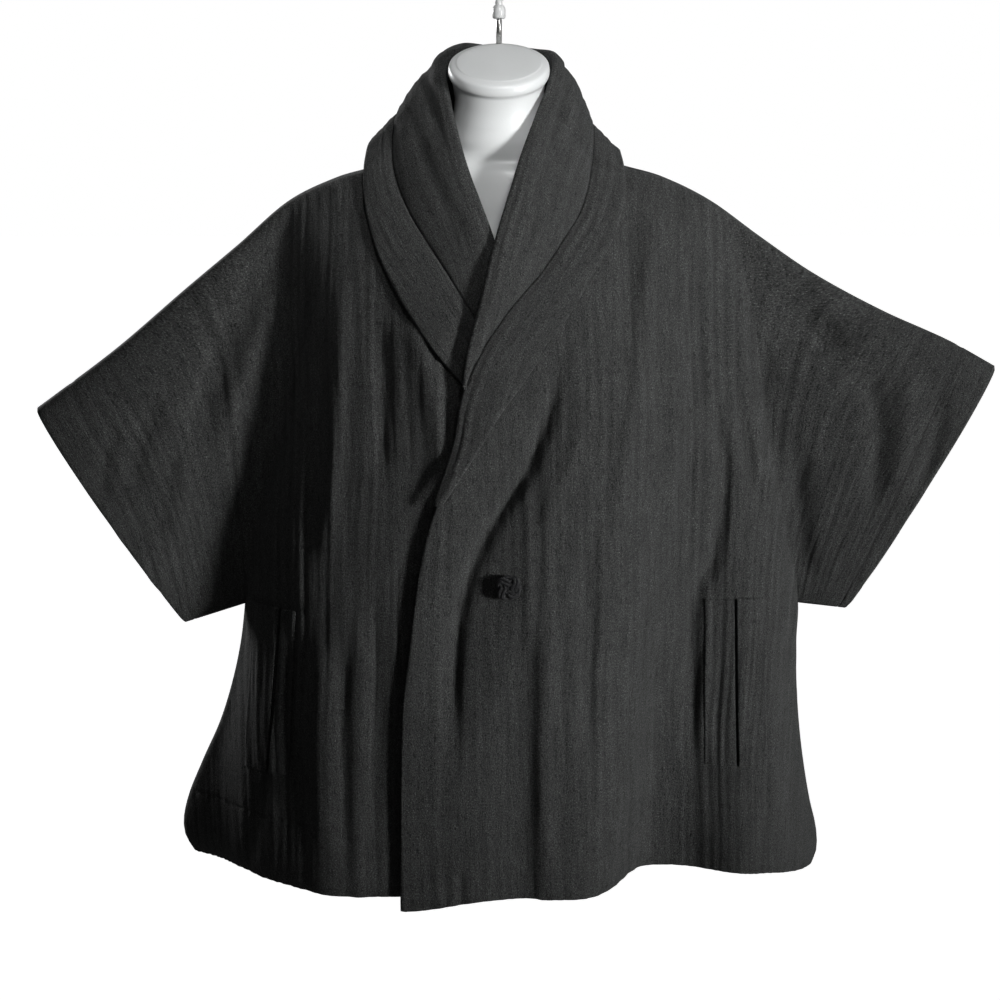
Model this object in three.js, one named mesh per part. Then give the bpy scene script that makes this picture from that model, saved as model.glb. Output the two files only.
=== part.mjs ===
// A wool cape coat that hangs, buttoned once, on a moulded torso form with a hook.
// Millimetres. +X is the wearer's left, -Y the front, +Z up, and the origin is inside the hook's bend.
// The tables use the coat's own frame: up is the height over the hem, out the distance from the centre
// line, and y is 0 on the shoulder seam.
import * as THREE from "three";

// Place of the coat's frame: how far the hem lies below the hook's bend, and the shoulders before it.
const HEM_BELOW_HOOK = 891;
const SHOULDER_BEFORE_HOOK = 34;

// Cloth
const CLOTH = 2;
const COLLAR_CLOTH = 3.5;
const WELT_CLOTH = 1.2;
const SEAM_GAP = 0.3;

// Height of the shoulder line along each sleeve's top, from the far side of the neck to the cuff.
const SHOULDER = [
  { out: -72, left: 699, right: 699 },
  { out: 0, left: 722, right: 722 },
  { out: 72, left: 699, right: 699 },
  { out: 125, left: 685, right: 684 },
  { out: 160, left: 675, right: 674 },
  { out: 207, left: 652, right: 651 },
  { out: 256, left: 617, right: 609 },
  { out: 309, left: 581, right: 565 },
  { out: 376, left: 545, right: 508 },
  { out: 443, left: 515, right: 458 },
  { out: 490, left: 489, right: 424 },
];

// Half width of the body: the side seam below the underarm, the edge of the draped body above it.
const BODY = [
  { up: 720, left: 222, right: 206 },
  { up: 600, left: 240, right: 212 },
  { up: 500, left: 256, right: 214 },
  { up: 420, left: 268, right: 226 },
  { up: 330, left: 286, right: 246 },
  { up: 253, left: 299, right: 254 },
  { up: 212, left: 298, right: 259 },
  { up: 171, left: 299, right: 268 },
  { up: 130, left: 302, right: 281 },
  { up: 90, left: 307, right: 299 },
  { up: 50, left: 314, right: 315 },
  { up: 20, left: 321, right: 319 },
  { up: 0, left: 321, right: 309 },
  { up: -10, left: 318, right: 302 },
];

// Cuffs and underarms, one row for each side.
const SLEEVE = {
  left: { cuffOut: 488, underOut: 347, underUp: 248, pitOut: 299, pitUp: 253 },
  right: { cuffOut: 456, underOut: 315, underUp: 233, pitOut: 254, pitUp: 252 },
};
const SLEEVE_DEPTH = { front: 30, back: 34 };
const SLEEVE_STARTS = 90;
const SLEEVE_FULL = 215;
const SLEEVE_FORWARD = 0.06;

// Depth of the cloth from the shoulder seam at the centre line.
const CENTRE = [
  { up: 727, front: 58, back: 92 },
  { up: 655, front: 73, back: 104 },
  { up: 612, front: 92, back: 109 },
  { up: 563, front: 114, back: 113 },
  { up: 505, front: 131, back: 117 },
  { up: 462, front: 142, back: 119 },
  { up: 382, front: 155, back: 123 },
  { up: 314, front: 161, back: 127 },
  { up: 239, front: 166, back: 132 },
  { up: 173, front: 170, back: 137 },
  { up: 0, front: 179, back: 150 },
  { up: -12, front: 180, back: 151 },
];
// Height over which the cloth rolls over the shoulder, and the exponents of the body's plan.
const ROLL = { front: 90, back: 82 };
const PLAN = { front: { across: 2.3, round: 1.8 }, back: { across: 2.7, round: 1.8 } };
const BLEND = 4;
const FOLD_FADE = 8;
const FOLD_GROWS = 0.2;
const FOLD_DIES = 0.35;

// Neck and front edge of each front panel: out is negative where it laps past the centre line.
const FRONT_EDGE = [
  { up: 699, left: 72, right: 72 },
  { up: 655, left: 60, right: 58 },
  { up: 612, left: 38, right: 34 },
  { up: 563, left: 10, right: 12 },
  { up: 505, left: -12, right: 2 },
  { up: 462, left: -22, right: -6 },
  { up: 416, left: -36, right: -16 },
  { up: 382, left: -52, right: -32 },
  { up: 362, left: -61, right: -46 },
  { up: 314, left: -73, right: -66 },
  { up: 239, left: -83, right: -79 },
  { up: 173, left: -90, right: -86 },
  { up: 0, left: -92, right: -91 },
  { up: -12, left: -92, right: -91 },
];
const NECK_OUT = 72;
const NECK_UP = 699;
const SHOULDER_OVER_PIT = { left: 270, right: 226 };

// How far the upper front stands off the lower one, and where that lap fades out.
const LAP = 12;
const LAP_FULL_OUT = 70;
const LAP_ENDS_OUT = 170;
const LAP_FULL_UP = 540;
const LAP_ENDS_UP = 650;

// Hem heights: level, lower at the upper front's corner and at the left side seam.
const FRONT_CORNER_DROP = 11;
const FRONT_CORNER_REACH = 90;
const LEFT_SIDE_DROP = 9;
const SIDE_DROP_REACH = 60;

// Folds as troughs that run down a face; a negative depth is a ridge. x is the trough's line at its
// top and foot, bow its sideways belly, and inner and outer its half widths towards -X and +X.
const FRONT_FOLDS = [
  { top: 660, foot: -40, xTop: 186, xFoot: 145, bow: 8, from: 4, to: 118, grow: 1.7, inner: 36, outer: 72 },
  { top: 500, foot: 60, xTop: 212, xFoot: 196, bow: -4, from: 2, to: 9, grow: 1, inner: 22, outer: 24 },
  { top: 545, foot: 120, xTop: 66, xFoot: -50, bow: -18, from: 4, to: 15, grow: 0.8, inner: 34, outer: 34 },
  { top: 285, foot: -40, xTop: 28, xFoot: 26, bow: -6, from: 1, to: 11, grow: 0.8, inner: 26, outer: 30 },
  { top: 650, foot: 470, xTop: 226, xFoot: 335, bow: -4, from: 10, to: 4, grow: 1, inner: 34, outer: 30 },
  { top: 640, foot: 360, xTop: -205, xFoot: -316, bow: -6, from: 9, to: 5, grow: 1, inner: 26, outer: 30 },
  { top: 620, foot: 250, xTop: -190, xFoot: -262, bow: 10, from: 10, to: 14, grow: 1, inner: 30, outer: 26 },
  { top: 560, foot: 380, xTop: -84, xFoot: -50, bow: 0, from: -7, to: -3, grow: 1, inner: 24, outer: 26 },
  { top: 420, foot: -40, xTop: -290, xFoot: -284, bow: 0, from: 4, to: 42, grow: 1.2, inner: 40, outer: 46 },
  { top: 330, foot: -40, xTop: -150, xFoot: -152, bow: 0, from: 0, to: -20, grow: 1.2, inner: 40, outer: 44 },
  { top: 270, foot: 20, xTop: -196, xFoot: -198, bow: 3, from: 2, to: 9, grow: 1, inner: 20, outer: 20 },
];
const BACK_FOLDS = [
  { top: 640, foot: -40, xTop: -60, xFoot: -84, bow: 6, from: 2, to: 30, grow: 1.4, inner: 44, outer: 36 },
  { top: 660, foot: -40, xTop: 96, xFoot: 62, bow: -8, from: 3, to: 42, grow: 1.5, inner: 34, outer: 52 },
  { top: 560, foot: -40, xTop: 170, xFoot: 196, bow: 6, from: 2, to: 34, grow: 1.2, inner: 40, outer: 34 },
  { top: 520, foot: -40, xTop: -168, xFoot: -204, bow: -4, from: 3, to: 46, grow: 1.3, inner: 38, outer: 48 },
  { top: 330, foot: -40, xTop: -6, xFoot: -14, bow: 0, from: 0, to: -14, grow: 1, inner: 34, outer: 34 },
  { top: 650, foot: 400, xTop: 215, xFoot: 330, bow: -6, from: 9, to: 4, grow: 1, inner: 30, outer: 34 },
  { top: 645, foot: 350, xTop: -208, xFoot: -300, bow: 6, from: 10, to: 5, grow: 1, inner: 34, outer: 28 },
];

// Sections of the collar from the centre back down each front: roll line, seam to the band, outer edge.
// Heights at which each front section leaves the panel's neck edge are in neckUp.
const COLLAR = {
  left: [
    { roll: [0, 80, 810], seam: [0, 109, 694], edge: [0, 113, 660], neckOut: 0, neckUp: 699 },
    { roll: [36, 68, 808], seam: [68, 80, 716], edge: [82, 84, 685], neckOut: 44, neckUp: 699 },
    { roll: [55, 30, 793], seam: [90, 20, 728], edge: [112, 20, 702], neckOut: 68, neckUp: 699 },
    { roll: [50, -15, 765], seam: [92, -14, 707], edge: [119, -16, 692], neckUp: 692 },
    { roll: [38, -38, 736], seam: [87, -40, 673], edge: [120, -45, 660], neckUp: 670 },
    { roll: [24, -68, 700], seam: [77, -70, 642], edge: [109, -74, 622], neckUp: 642 },
    { roll: [10, -98, 655], seam: [60, -92, 616], edge: [93, -98, 594], neckUp: 612 },
    { roll: [-3, -122, 613], seam: [39, -112, 586], edge: [72, -120, 560], neckUp: 580 },
    { roll: [-15, -141, 563], seam: [12, -133, 556], edge: [48, -141, 525], neckUp: 544 },
    { roll: [-27, -151, 517], seam: [-17, -148, 514], edge: [23, -155, 489], neckUp: 506 },
    { roll: [-34, -157, 473], seam: [-34, -157, 473], edge: [0, -165, 458], neckUp: 470 },
    { roll: [-41, -163, 434], seam: [-41, -163, 434], edge: [-18, -171, 429], neckUp: 434 },
    { roll: [-50, -168, 404], seam: [-50, -168, 404], edge: [-36, -174, 401], neckUp: 404 },
    { roll: [-60, -171, 374], seam: [-60, -171, 374], edge: [-53, -174, 376], neckUp: 376 },
  ],
  right: [
    { roll: [0, 80, 810], seam: [0, 109, 694], edge: [0, 113, 660], neckOut: 0, neckUp: 699 },
    { roll: [36, 67, 808], seam: [72, 80, 722], edge: [88, 84, 692], neckOut: 44, neckUp: 699 },
    { roll: [56, 30, 791], seam: [98, 20, 738], edge: [121, 18, 712], neckOut: 68, neckUp: 699 },
    { roll: [51, -20, 757], seam: [104, -12, 713], edge: [130, -16, 692], neckUp: 692 },
    { roll: [43, -46, 724], seam: [101, -38, 680], edge: [129, -46, 656], neckUp: 670 },
    { roll: [33, -72, 690], seam: [88, -67, 646], edge: [118, -80, 614], neckUp: 642 },
    { roll: [20, -92, 655], seam: [68, -93, 614], edge: [99, -106, 574], neckUp: 612 },
    { roll: [4, -111, 612], seam: [47, -113, 583], edge: [76, -127, 538], neckUp: 580 },
    { roll: [-8, -119, 563], seam: [26, -126, 550], edge: [52, -139, 506], neckUp: 544 },
    { roll: [-15, -100, 520], seam: [8, -100, 522], edge: [28, -100, 480], neckUp: 506 },
    { roll: [-24, -100, 478], seam: [-24, -100, 478], edge: [8, -100, 459], neckUp: 470 },
    { roll: [-30, -100, 440], seam: [-30, -100, 440], edge: [-8, -100, 432], neckUp: 434 },
    { roll: [-38, -100, 408], seam: [-38, -100, 408], edge: [-24, -100, 404], neckUp: 404 },
    { roll: [-50, -100, 378], seam: [-50, -100, 378], edge: [-42, -100, 378], neckUp: 376 },
  ],
};
const COLLAR_ENDS_AT = 8.6;
const BAND_ENDS_AT = 13;
const ROLL_RADIUS = 5;
const ROLL_SHARE = 0.18;
const COLLAR_PUFF = 5;
const BAND_PUFF = 1.5;
const COLLAR_STANDS_OFF = 6;
const NECK_SEAM_GAP = 2;
const BAND_SEAM_GAP = 1.1;
// Stations between which the lower collar flattens to lie under the upper front.
const TUCK_STARTS = 6.6;
const TUCK_FULL = 8;
const FRONT_SECTIONS_START = 2.2;
const FRONT_SECTIONS_FULL = 3.4;

// Pockets: a slit between two welts. inner, slit and outer are distances from the centre line.
const POCKETS = {
  left: {
    top: { up: 269, inner: 201, slit: 230, outer: 259 },
    foot: { up: 104, inner: 203, slit: 234, outer: 262 },
  },
  right: {
    top: { up: 261, inner: 195, slit: 211, outer: 242 },
    foot: { up: 103, inner: 203, slit: 224, outer: 249 },
  },
};
const SLIT_GAP = 4;
const WELT_STANDS_OFF = 2.8;

// Knotted button on the upper front.
const BUTTON = { x: 9, up: 297, radius: 12.5, thick: 11, standsOff: 2.3, square: 3 };

// Rings of the torso form from its foot to the neck cap. half is across, deep is front to back,
// lean tips a ring forward in degrees and tip sharpens the ends of the wide shoulder rings.
const FORM = [
  { up: 126, y: 2, half: 132, deep: 62, lean: 0, tip: -0.1 },
  { up: 128, y: 2, half: 146, deep: 73, lean: 0, tip: -0.1 },
  { up: 140, y: 2, half: 155, deep: 81, lean: 0, tip: -0.1 },
  { up: 195, y: 3, half: 160, deep: 86, lean: 0, tip: -0.1 },
  { up: 290, y: 0, half: 138, deep: 72, lean: 0, tip: -0.1 },
  { up: 380, y: -6, half: 150, deep: 80, lean: 0, tip: -0.1 },
  { up: 460, y: -10, half: 168, deep: 90, lean: 0, tip: -0.1 },
  { up: 530, y: -3, half: 182, deep: 86, lean: 0, tip: -0.05 },
  { up: 590, y: 4, half: 196, deep: 72, lean: 0, tip: 0.15 },
  { up: 626, y: 2, half: 203, deep: 58, lean: 0, tip: 0.5 },
  { up: 649, y: 0, half: 203, deep: 52, lean: 0, tip: 0.8 },
  { up: 663.3, y: 0, half: 180, deep: 49, lean: 0, tip: 0.8 },
  { up: 672.3, y: 0, half: 160, deep: 47, lean: 0, tip: 0.8 },
  { up: 682.3, y: 0, half: 125, deep: 44, lean: 0, tip: 0.8 },
  { up: 690.5, y: 1, half: 87, deep: 40, lean: 0, tip: 0.8 },
  { up: 702, y: 1, half: 54, deep: 42, lean: 4, tip: 0.1 },
  { up: 716, y: 1, half: 50, deep: 44, lean: 10, tip: 0 },
  { up: 734, y: 0, half: 45, deep: 44, lean: 18, tip: 0 },
  { up: 752, y: -1, half: 43.5, deep: 44, lean: 24, tip: 0 },
  { up: 769, y: -2, half: 46, deep: 46.5, lean: 27, tip: 0 },
  { up: 775, y: -2.5, half: 49, deep: 49.5, lean: 27, tip: 0 },
  { up: 780, y: -3, half: 49.5, deep: 50, lean: 27, tip: 0 },
  { up: 784, y: -3.5, half: 48, deep: 48.5, lean: 27, tip: 0 },
  { up: 786, y: -4, half: 42, deep: 42.5, lean: 27, tip: 0 },
];
const FORM_SIDES = 28;

// Hook, its socket and the pin in the cap.
const PIN_RADIUS = 2.75;
const PIN_FOOT = 806;
const PIN_TOP = 829.7;
const SOCKET_RADIUS = 6.5;
const SOCKET_FOOT = 830;
const SOCKET_TOP = 843;
const HOOK_WIRE = 3.5;
const HOOK_INNER = 18.5;
const HOOK_STARTS_AT = 58;
const HOOK_OPENS_AT = 205;
const HOOK_STEP = 18.375;
const HOOK_TIP = 6;

// Grid steps
const BODY_COLUMNS = 19;
const SLEEVE_COLUMNS = 8;
const UPPER_ROWS = 13;
const LOWER_ROWS = 10;
const COLLAR_STATIONS = 24;
const TAIL_STATIONS = 10;
const COLLAR_ACROSS = 11;
const BAND_ACROSS = 3;
const WELT_ROWS = 8;
const BUTTON_SIDES = 24;
const BUTTON_RINGS = 8;
const HOOK_STEPS = 40;
// How strongly a wall's direction follows its neighbours'.
const EVEN_OUT = 0.3;

const WOOL = 0x3a3b39;
const materials = {
  cloth: new THREE.MeshStandardMaterial({ color: WOOL, roughness: 0.95 }),
  cord: new THREE.MeshStandardMaterial({ color: 0x17171a, roughness: 0.7 }),
  form: new THREE.MeshStandardMaterial({ color: 0xe4e8e8, roughness: 0.25 }),
  metal: new THREE.MeshStandardMaterial({ color: 0xb8b8b4, roughness: 0.3, metalness: 1 }),
};

const clamp = (v, low, high) => Math.min(Math.max(v, low), high);
const lerp = (a, b, t) => a + (b - a) * t;
const ease = (v, from, to) => {
  const t = clamp((v - from) / (to - from), 0, 1);
  return t * t * (3 - 2 * t);
};

// A smooth function through a table's rows, of column key against column at.
function through(rows, at, key) {
  const sorted = [...rows].sort((a, b) => a[at] - b[at]);
  const x = sorted.map((row) => row[at]);
  const y = sorted.map((row) => row[key]);
  const last = x.length - 1;
  const slope = x.map((_, i) => {
    const a = Math.max(i - 1, 0);
    const b = Math.min(i + 1, last);
    return (y[b] - y[a]) / (x[b] - x[a]);
  });
  return (v) => {
    const u = clamp(v, x[0], x[last]);
    let i = 0;
    while (i < last - 1 && u > x[i + 1]) i += 1;
    const step = x[i + 1] - x[i];
    const t = (u - x[i]) / step;
    const rise = y[i + 1] - y[i];
    const bendA = slope[i] * step - rise;
    const bendB = rise - slope[i + 1] * step;
    return lerp(y[i], y[i + 1], t) + t * (1 - t) * (bendA * (1 - t) + bendB * t);
  };
}

const bothSides = (rows, at) => ({
  left: through(rows, at, "left"),
  right: through(rows, at, "right"),
});
const shoulderUp = bothSides(SHOULDER, "out");
const bodyHalf = bothSides(BODY, "up");
const frontEdge = bothSides(FRONT_EDGE, "up");
const centreDepth = {
  front: through(CENTRE, "up", "front"),
  back: through(CENTRE, "up", "back"),
};
const FOLDS = { front: FRONT_FOLDS, back: BACK_FOLDS };
const SIGN = { left: 1, right: -1 };
const LAYER = { left: "upper", right: "under" };
const sideOf = (x) => (x < 0 ? "right" : "left");

// Height of the underarm seam, carried level across the body.
function underarmUp(side, out) {
  const s = SLEEVE[side];
  return lerp(s.pitUp, s.underUp, clamp((out - s.pitOut) / (s.underOut - s.pitOut), 0, 1));
}

// Depth of the draped body at a point of the front or back, before folds.
function bodyDepth(face, x, up) {
  const side = sideOf(x);
  const out = Math.abs(x);
  const across = Math.min(out / bodyHalf[side](up), 1);
  const plan = (1 - across ** PLAN[face].across) ** (1 / PLAN[face].round);
  const below = clamp((shoulderUp[side](out) - up) / ROLL[face], 0, 1);
  return centreDepth[face](up) * plan * Math.sqrt(1 - (1 - below) ** 2);
}

// Depth of the flat sleeve: an ellipse between the shoulder line and the underarm.
function sleeveDepth(face, x, up) {
  const side = sideOf(x);
  const out = Math.abs(x);
  const top = shoulderUp[side](out);
  const foot = underarmUp(side, out);
  const q = clamp((up - foot) / (top - foot), 0, 1);
  return SLEEVE_DEPTH[face] * ease(out, SLEEVE_STARTS, SLEEVE_FULL) * Math.sqrt(4 * q * (1 - q));
}

function foldDepth(face, x, up) {
  let sum = 0;
  for (const f of FOLDS[face]) {
    const v = (f.top - up) / (f.top - f.foot);
    if (v <= 0 || v >= 1) continue;
    const line = lerp(f.xTop, f.xFoot, v) + f.bow * 4 * v * (1 - v);
    const side = x < line ? f.inner : f.outer;
    const ends = ease(v, 0, FOLD_GROWS) * (1 - ease(v, f.foot > 0 ? 1 - FOLD_DIES : 1, 1.01));
    sum += lerp(f.from, f.to, v ** f.grow) * ends * Math.exp(-(((x - line) / side) ** 2));
  }
  return sum;
}

// Depth of the cloth with its folds; the folds die away towards the seams.
function clothDepth(face, x, up) {
  const body = bodyDepth(face, x, up);
  const sleeve = sleeveDepth(face, x, up);
  const base = (body ** BLEND + sleeve ** BLEND) ** (1 / BLEND);
  const fold = foldDepth(face, x, up);
  return base - fold * (1 - Math.exp(-((base / (FOLD_FADE + Math.abs(fold))) ** 2)));
}

// Extra depth of the upper front where it laps over the lower one.
function lapDepth(x, up) {
  return LAP * (1 - ease(x, LAP_FULL_OUT, LAP_ENDS_OUT)) * (1 - ease(up, LAP_FULL_UP, LAP_ENDS_UP));
}

const seamY = (x) => -SLEEVE_FORWARD * Math.max(Math.abs(x) - SLEEVE_FULL, 0);

// The cloth's middle surface: a point of a panel above x and up.
function clothPoint(face, layer, x, up) {
  const depth = clothDepth(face, x, up) + (layer === "upper" ? lapDepth(x, up) : 0);
  const y = face === "front" ? -depth - SEAM_GAP / 2 : depth + SEAM_GAP / 2;
  return new THREE.Vector3(x, seamY(x) + y, up);
}

// Hem height at a distance out, for the upper front's corner and the left side seam.
function hemUp(face, side, out) {
  let up = 0;
  if (face === "front" && side === "left") {
    const fromEdge = out - frontEdge.left(0);
    up -= FRONT_CORNER_DROP * (1 - ease(fromEdge, 0, FRONT_CORNER_REACH));
  }
  if (side === "left") {
    const half = bodyHalf.left(0);
    up -= LEFT_SIDE_DROP * ease(out, half - SIDE_DROP_REACH, half);
  }
  return up;
}

// A sheet is a list of points, quads that face out, and marks for points on a seam: a mark is the
// axis that the wall's direction has none of there, or the direction itself.
class Sheet {
  constructor() {
    this.points = [];
    this.quads = [];
    this.flat = [];
  }
  add(point, flat) {
    this.points.push(point);
    this.flat.push(flat || null);
    return this.points.length - 1;
  }
  // Joins a grid of point numbers with quads; turn makes them face the other way.
  grid(rows, turn) {
    for (let i = 0; i + 1 < rows.length; i += 1) {
      for (let j = 0; j + 1 < rows[i].length; j += 1) {
        const quad = [rows[i][j], rows[i + 1][j], rows[i + 1][j + 1], rows[i][j + 1]];
        this.quads.push(turn ? quad.reverse() : quad);
      }
    }
  }
  normals() {
    const sums = this.points.map(() => new THREE.Vector3());
    for (const quad of this.quads) {
      const [a, b, c, d] = quad.map((i) => this.points[i]);
      const n = new THREE.Vector3().subVectors(c, a).cross(new THREE.Vector3().subVectors(d, b));
      quad.forEach((i) => sums[i].add(n));
    }
    return sums.map((n) => n.normalize());
  }
  // The wall's direction at each point: the normals, evened out with the neighbours', and the marks.
  directions() {
    const normals = this.normals();
    const sums = normals.map((n) => n.clone());
    for (const quad of this.quads) {
      for (const i of quad) quad.forEach((j) => sums[i].addScaledVector(normals[j], EVEN_OUT));
    }
    sums.forEach((n, i) => {
      const mark = this.flat[i];
      if (mark && mark.isVector3) n.copy(mark);
      else if (mark) n[mark] = 0;
      n.normalize();
    });
    return sums;
  }
  // The closed wall of a given thickness round the sheet.
  wall(thickness) {
    const directions = this.directions();
    const count = this.points.length;
    const faces = [];
    const place = (sign) =>
      this.points.map((p, i) => p.clone().addScaledVector(directions[i], (sign * thickness) / 2));
    const vertices = [...place(1), ...place(-1)];
    const edges = new Map();
    for (const quad of this.quads) {
      faces.push([...quad], quad.map((i) => i + count).reverse());
      quad.forEach((a, k) => {
        const b = quad[(k + 1) % 4];
        if (!edges.delete(b + "," + a)) edges.set(a + "," + b, [a, b]);
      });
    }
    for (const [a, b] of edges.values()) faces.push([b, a, a + count, b + count]);
    return solidFrom(vertices, faces);
  }
}

// A geometry from vertices and faces of three or more corners that face out.
function solidFrom(vertices, faces) {
  const index = [];
  for (const face of faces) {
    for (let k = 1; k + 1 < face.length; k += 1) index.push(face[0], face[k], face[k + 1]);
  }
  const geometry = new THREE.BufferGeometry();
  geometry.setAttribute(
    "position",
    new THREE.Float32BufferAttribute(vertices.flatMap((v) => v.toArray()), 3),
  );
  geometry.setIndex(index);
  geometry.computeVertexNormals();
  return geometry;
}

// Steps that crowd towards the far end, or towards both ends.
const crowdEnd = (i, n) => lerp(i / n, Math.sin((Math.PI / 2) * (i / n)), 0.6);
const crowdBoth = (i, n) => (1 - Math.cos((Math.PI * i) / n)) / 2;

// Half a face of the coat, from its centre edge to the cuff and from the shoulder to the hem.
// edgeAt gives the centre edge's out at a height, and topEdge the height where that edge starts.
function addHalf(sheet, face, layer, side, edgeAt, centre) {
  const sign = SIGN[side];
  const s = SLEEVE[side];
  const turn = (face === "front") === (side === "left");
  const put = (out, up, flat) => sheet.add(clothPoint(face, layer, sign * out, up), flat);
  const neckOut = edgeAt(NECK_UP);
  const pitEdge = edgeAt(s.pitUp);
  const upper = [];
  for (let r = 0; r <= UPPER_ROWS; r += 1) {
    const t = crowdBoth(r, UPPER_ROWS);
    const row = [];
    for (let c = 0; c <= BODY_COLUMNS; c += 1) {
      if (c === 0 && centre && centre.upper[r] !== undefined) {
        row.push(centre.upper[r]);
        continue;
      }
      const a = crowdEnd(c, BODY_COLUMNS);
      const topOut = lerp(neckOut, SHOULDER_OVER_PIT[side], a);
      const topUp = neckOut < NECK_OUT && topOut < NECK_OUT ? NECK_UP : shoulderUp[side](topOut);
      const up = lerp(topUp, s.pitUp, t);
      const straight = lerp(topOut, lerp(pitEdge, s.pitOut, a), t);
      const pull = edgeAt(lerp(NECK_UP, s.pitUp, t)) - lerp(neckOut, pitEdge, t);
      const onShoulder = r === 0 && topOut >= NECK_OUT - 1e-6;
      const onPit = r === UPPER_ROWS && c === BODY_COLUMNS;
      row.push(put(straight + pull * (1 - a) ** 2, up, onShoulder || onPit ? "y" : null));
    }
    for (let c = 1; c <= SLEEVE_COLUMNS; c += 1) {
      const a = c / SLEEVE_COLUMNS;
      const topOut = lerp(SHOULDER_OVER_PIT[side], s.cuffOut, a);
      const footOut = lerp(s.pitOut, s.underOut, a);
      const out = lerp(topOut, footOut, t);
      const up = lerp(shoulderUp[side](topOut), underarmUp(side, footOut), t);
      row.push(putSleeve(out, up, r));
    }
    upper.push(row);
  }
  const lower = [upper[UPPER_ROWS].slice(0, BODY_COLUMNS + 1)];
  for (let r = 1; r <= LOWER_ROWS; r += 1) {
    const t = r / LOWER_ROWS;
    const row = [];
    for (let c = 0; c <= BODY_COLUMNS; c += 1) {
      if (c === 0 && centre && centre.lower[r] !== undefined) {
        row.push(centre.lower[r]);
        continue;
      }
      const a = crowdEnd(c, BODY_COLUMNS);
      const level = lerp(s.pitUp, 0, t);
      const near = lerp(edgeAt(level), bodyHalf[side](level), a);
      const up = level + hemUp(face, side, near) * t;
      const out = lerp(edgeAt(up), bodyHalf[side](up), a);
      row.push(put(out, up, c === BODY_COLUMNS ? "y" : null));
    }
    lower.push(row);
  }
  sheet.grid(upper, turn);
  sheet.grid(lower, turn);
  return { upper: upper.map((row) => row[0]), lower: lower.map((row) => row[0]) };

  // Sleeve points on the shoulder line and the underarm lie on the seam.
  function putSleeve(out, up, r) {
    const seam = r === 0 || r === UPPER_ROWS;
    const index = put(out, up, seam ? "y" : null);
    if (seam) {
      const y = face === "front" ? -SEAM_GAP / 2 : SEAM_GAP / 2;
      sheet.points[index].y = seamY(out) + y;
    }
    return index;
  }
}

function frontPanel(side) {
  const sheet = new Sheet();
  addHalf(sheet, "front", LAYER[side], side, frontEdge[side], null);
  return sheet.wall(CLOTH);
}

function backPanel() {
  const sheet = new Sheet();
  const centreLine = () => 0;
  const middle = addHalf(sheet, "back", "single", "left", centreLine, { upper: [], lower: [] });
  addHalf(sheet, "back", "single", "right", centreLine, middle);
  return sheet.wall(CLOTH);
}

// A smooth run through the collar's sections: the value of one column at station k. The section
// before the first is the other side's.
function station(rows, key, k) {
  const at = (i) => {
    const value = rows[Math.min(Math.abs(i), rows.length - 1)][key];
    if (i >= 0 || key === "neckUp") return value;
    return key === "neckOut" ? -value : [-value[0], value[1], value[2]];
  };
  const i = Math.min(Math.floor(k), rows.length - 2);
  const t = k - i;
  const blend = (a, b, c, d) =>
    b + 0.5 * t * (c - a + t * (2 * a - 5 * b + 4 * c - d + t * (3 * (b - c) + d - a)));
  const [a, b, c, d] = [at(i - 1), at(i), at(i + 1), at(i + 2)];
  return Array.isArray(b) ? b.map((_, n) => blend(a[n], b[n], c[n], d[n])) : blend(a, b, c, d);
}

// Where the collar leaves the neck edge of the panels at station k.
function neckPoint(side, k) {
  const rows = COLLAR[side];
  const sign = SIGN[side];
  const up = station(rows, "neckUp", k);
  if (k <= 2) {
    const out = station(rows.slice(0, 3), "neckOut", k);
    return clothPoint("back", "single", sign * out, NECK_UP);
  }
  const front = clothPoint("front", LAYER[side], sign * frontEdge[side](up), up);
  const share = ease(k, 2, 3);
  const start = clothPoint("back", "single", sign * rows[2].neckOut, NECK_UP);
  return start.lerp(front, share);
}

// Holds a point of the collar's fall clear of the front panel under it.
function clearOfFront(side, k, p) {
  const rest = clothPoint("front", LAYER[side], p.x, p.z).y - COLLAR_STANDS_OFF;
  const share = ease(k, FRONT_SECTIONS_START, FRONT_SECTIONS_FULL);
  p.y = lerp(p.y, Math.min(p.y, rest), share);
  return p;
}

// Points across the collar at station k, from the neck edge over the roll to the band's seam.
function collarSection(side, k) {
  const sign = SIGN[side];
  const rows = COLLAR[side];
  const point = (key) => {
    const [out, y, up] = station(rows, key, k);
    return new THREE.Vector3(sign * out, y, up);
  };
  const neck = neckPoint(side, k);
  const roll = clearOfFront(side, k, point("roll"));
  const seam = clearOfFront(side, k, point("seam"));
  const edge = clearOfFront(side, k, point("edge"));
  return { neck, roll, seam, edge };
}

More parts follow.
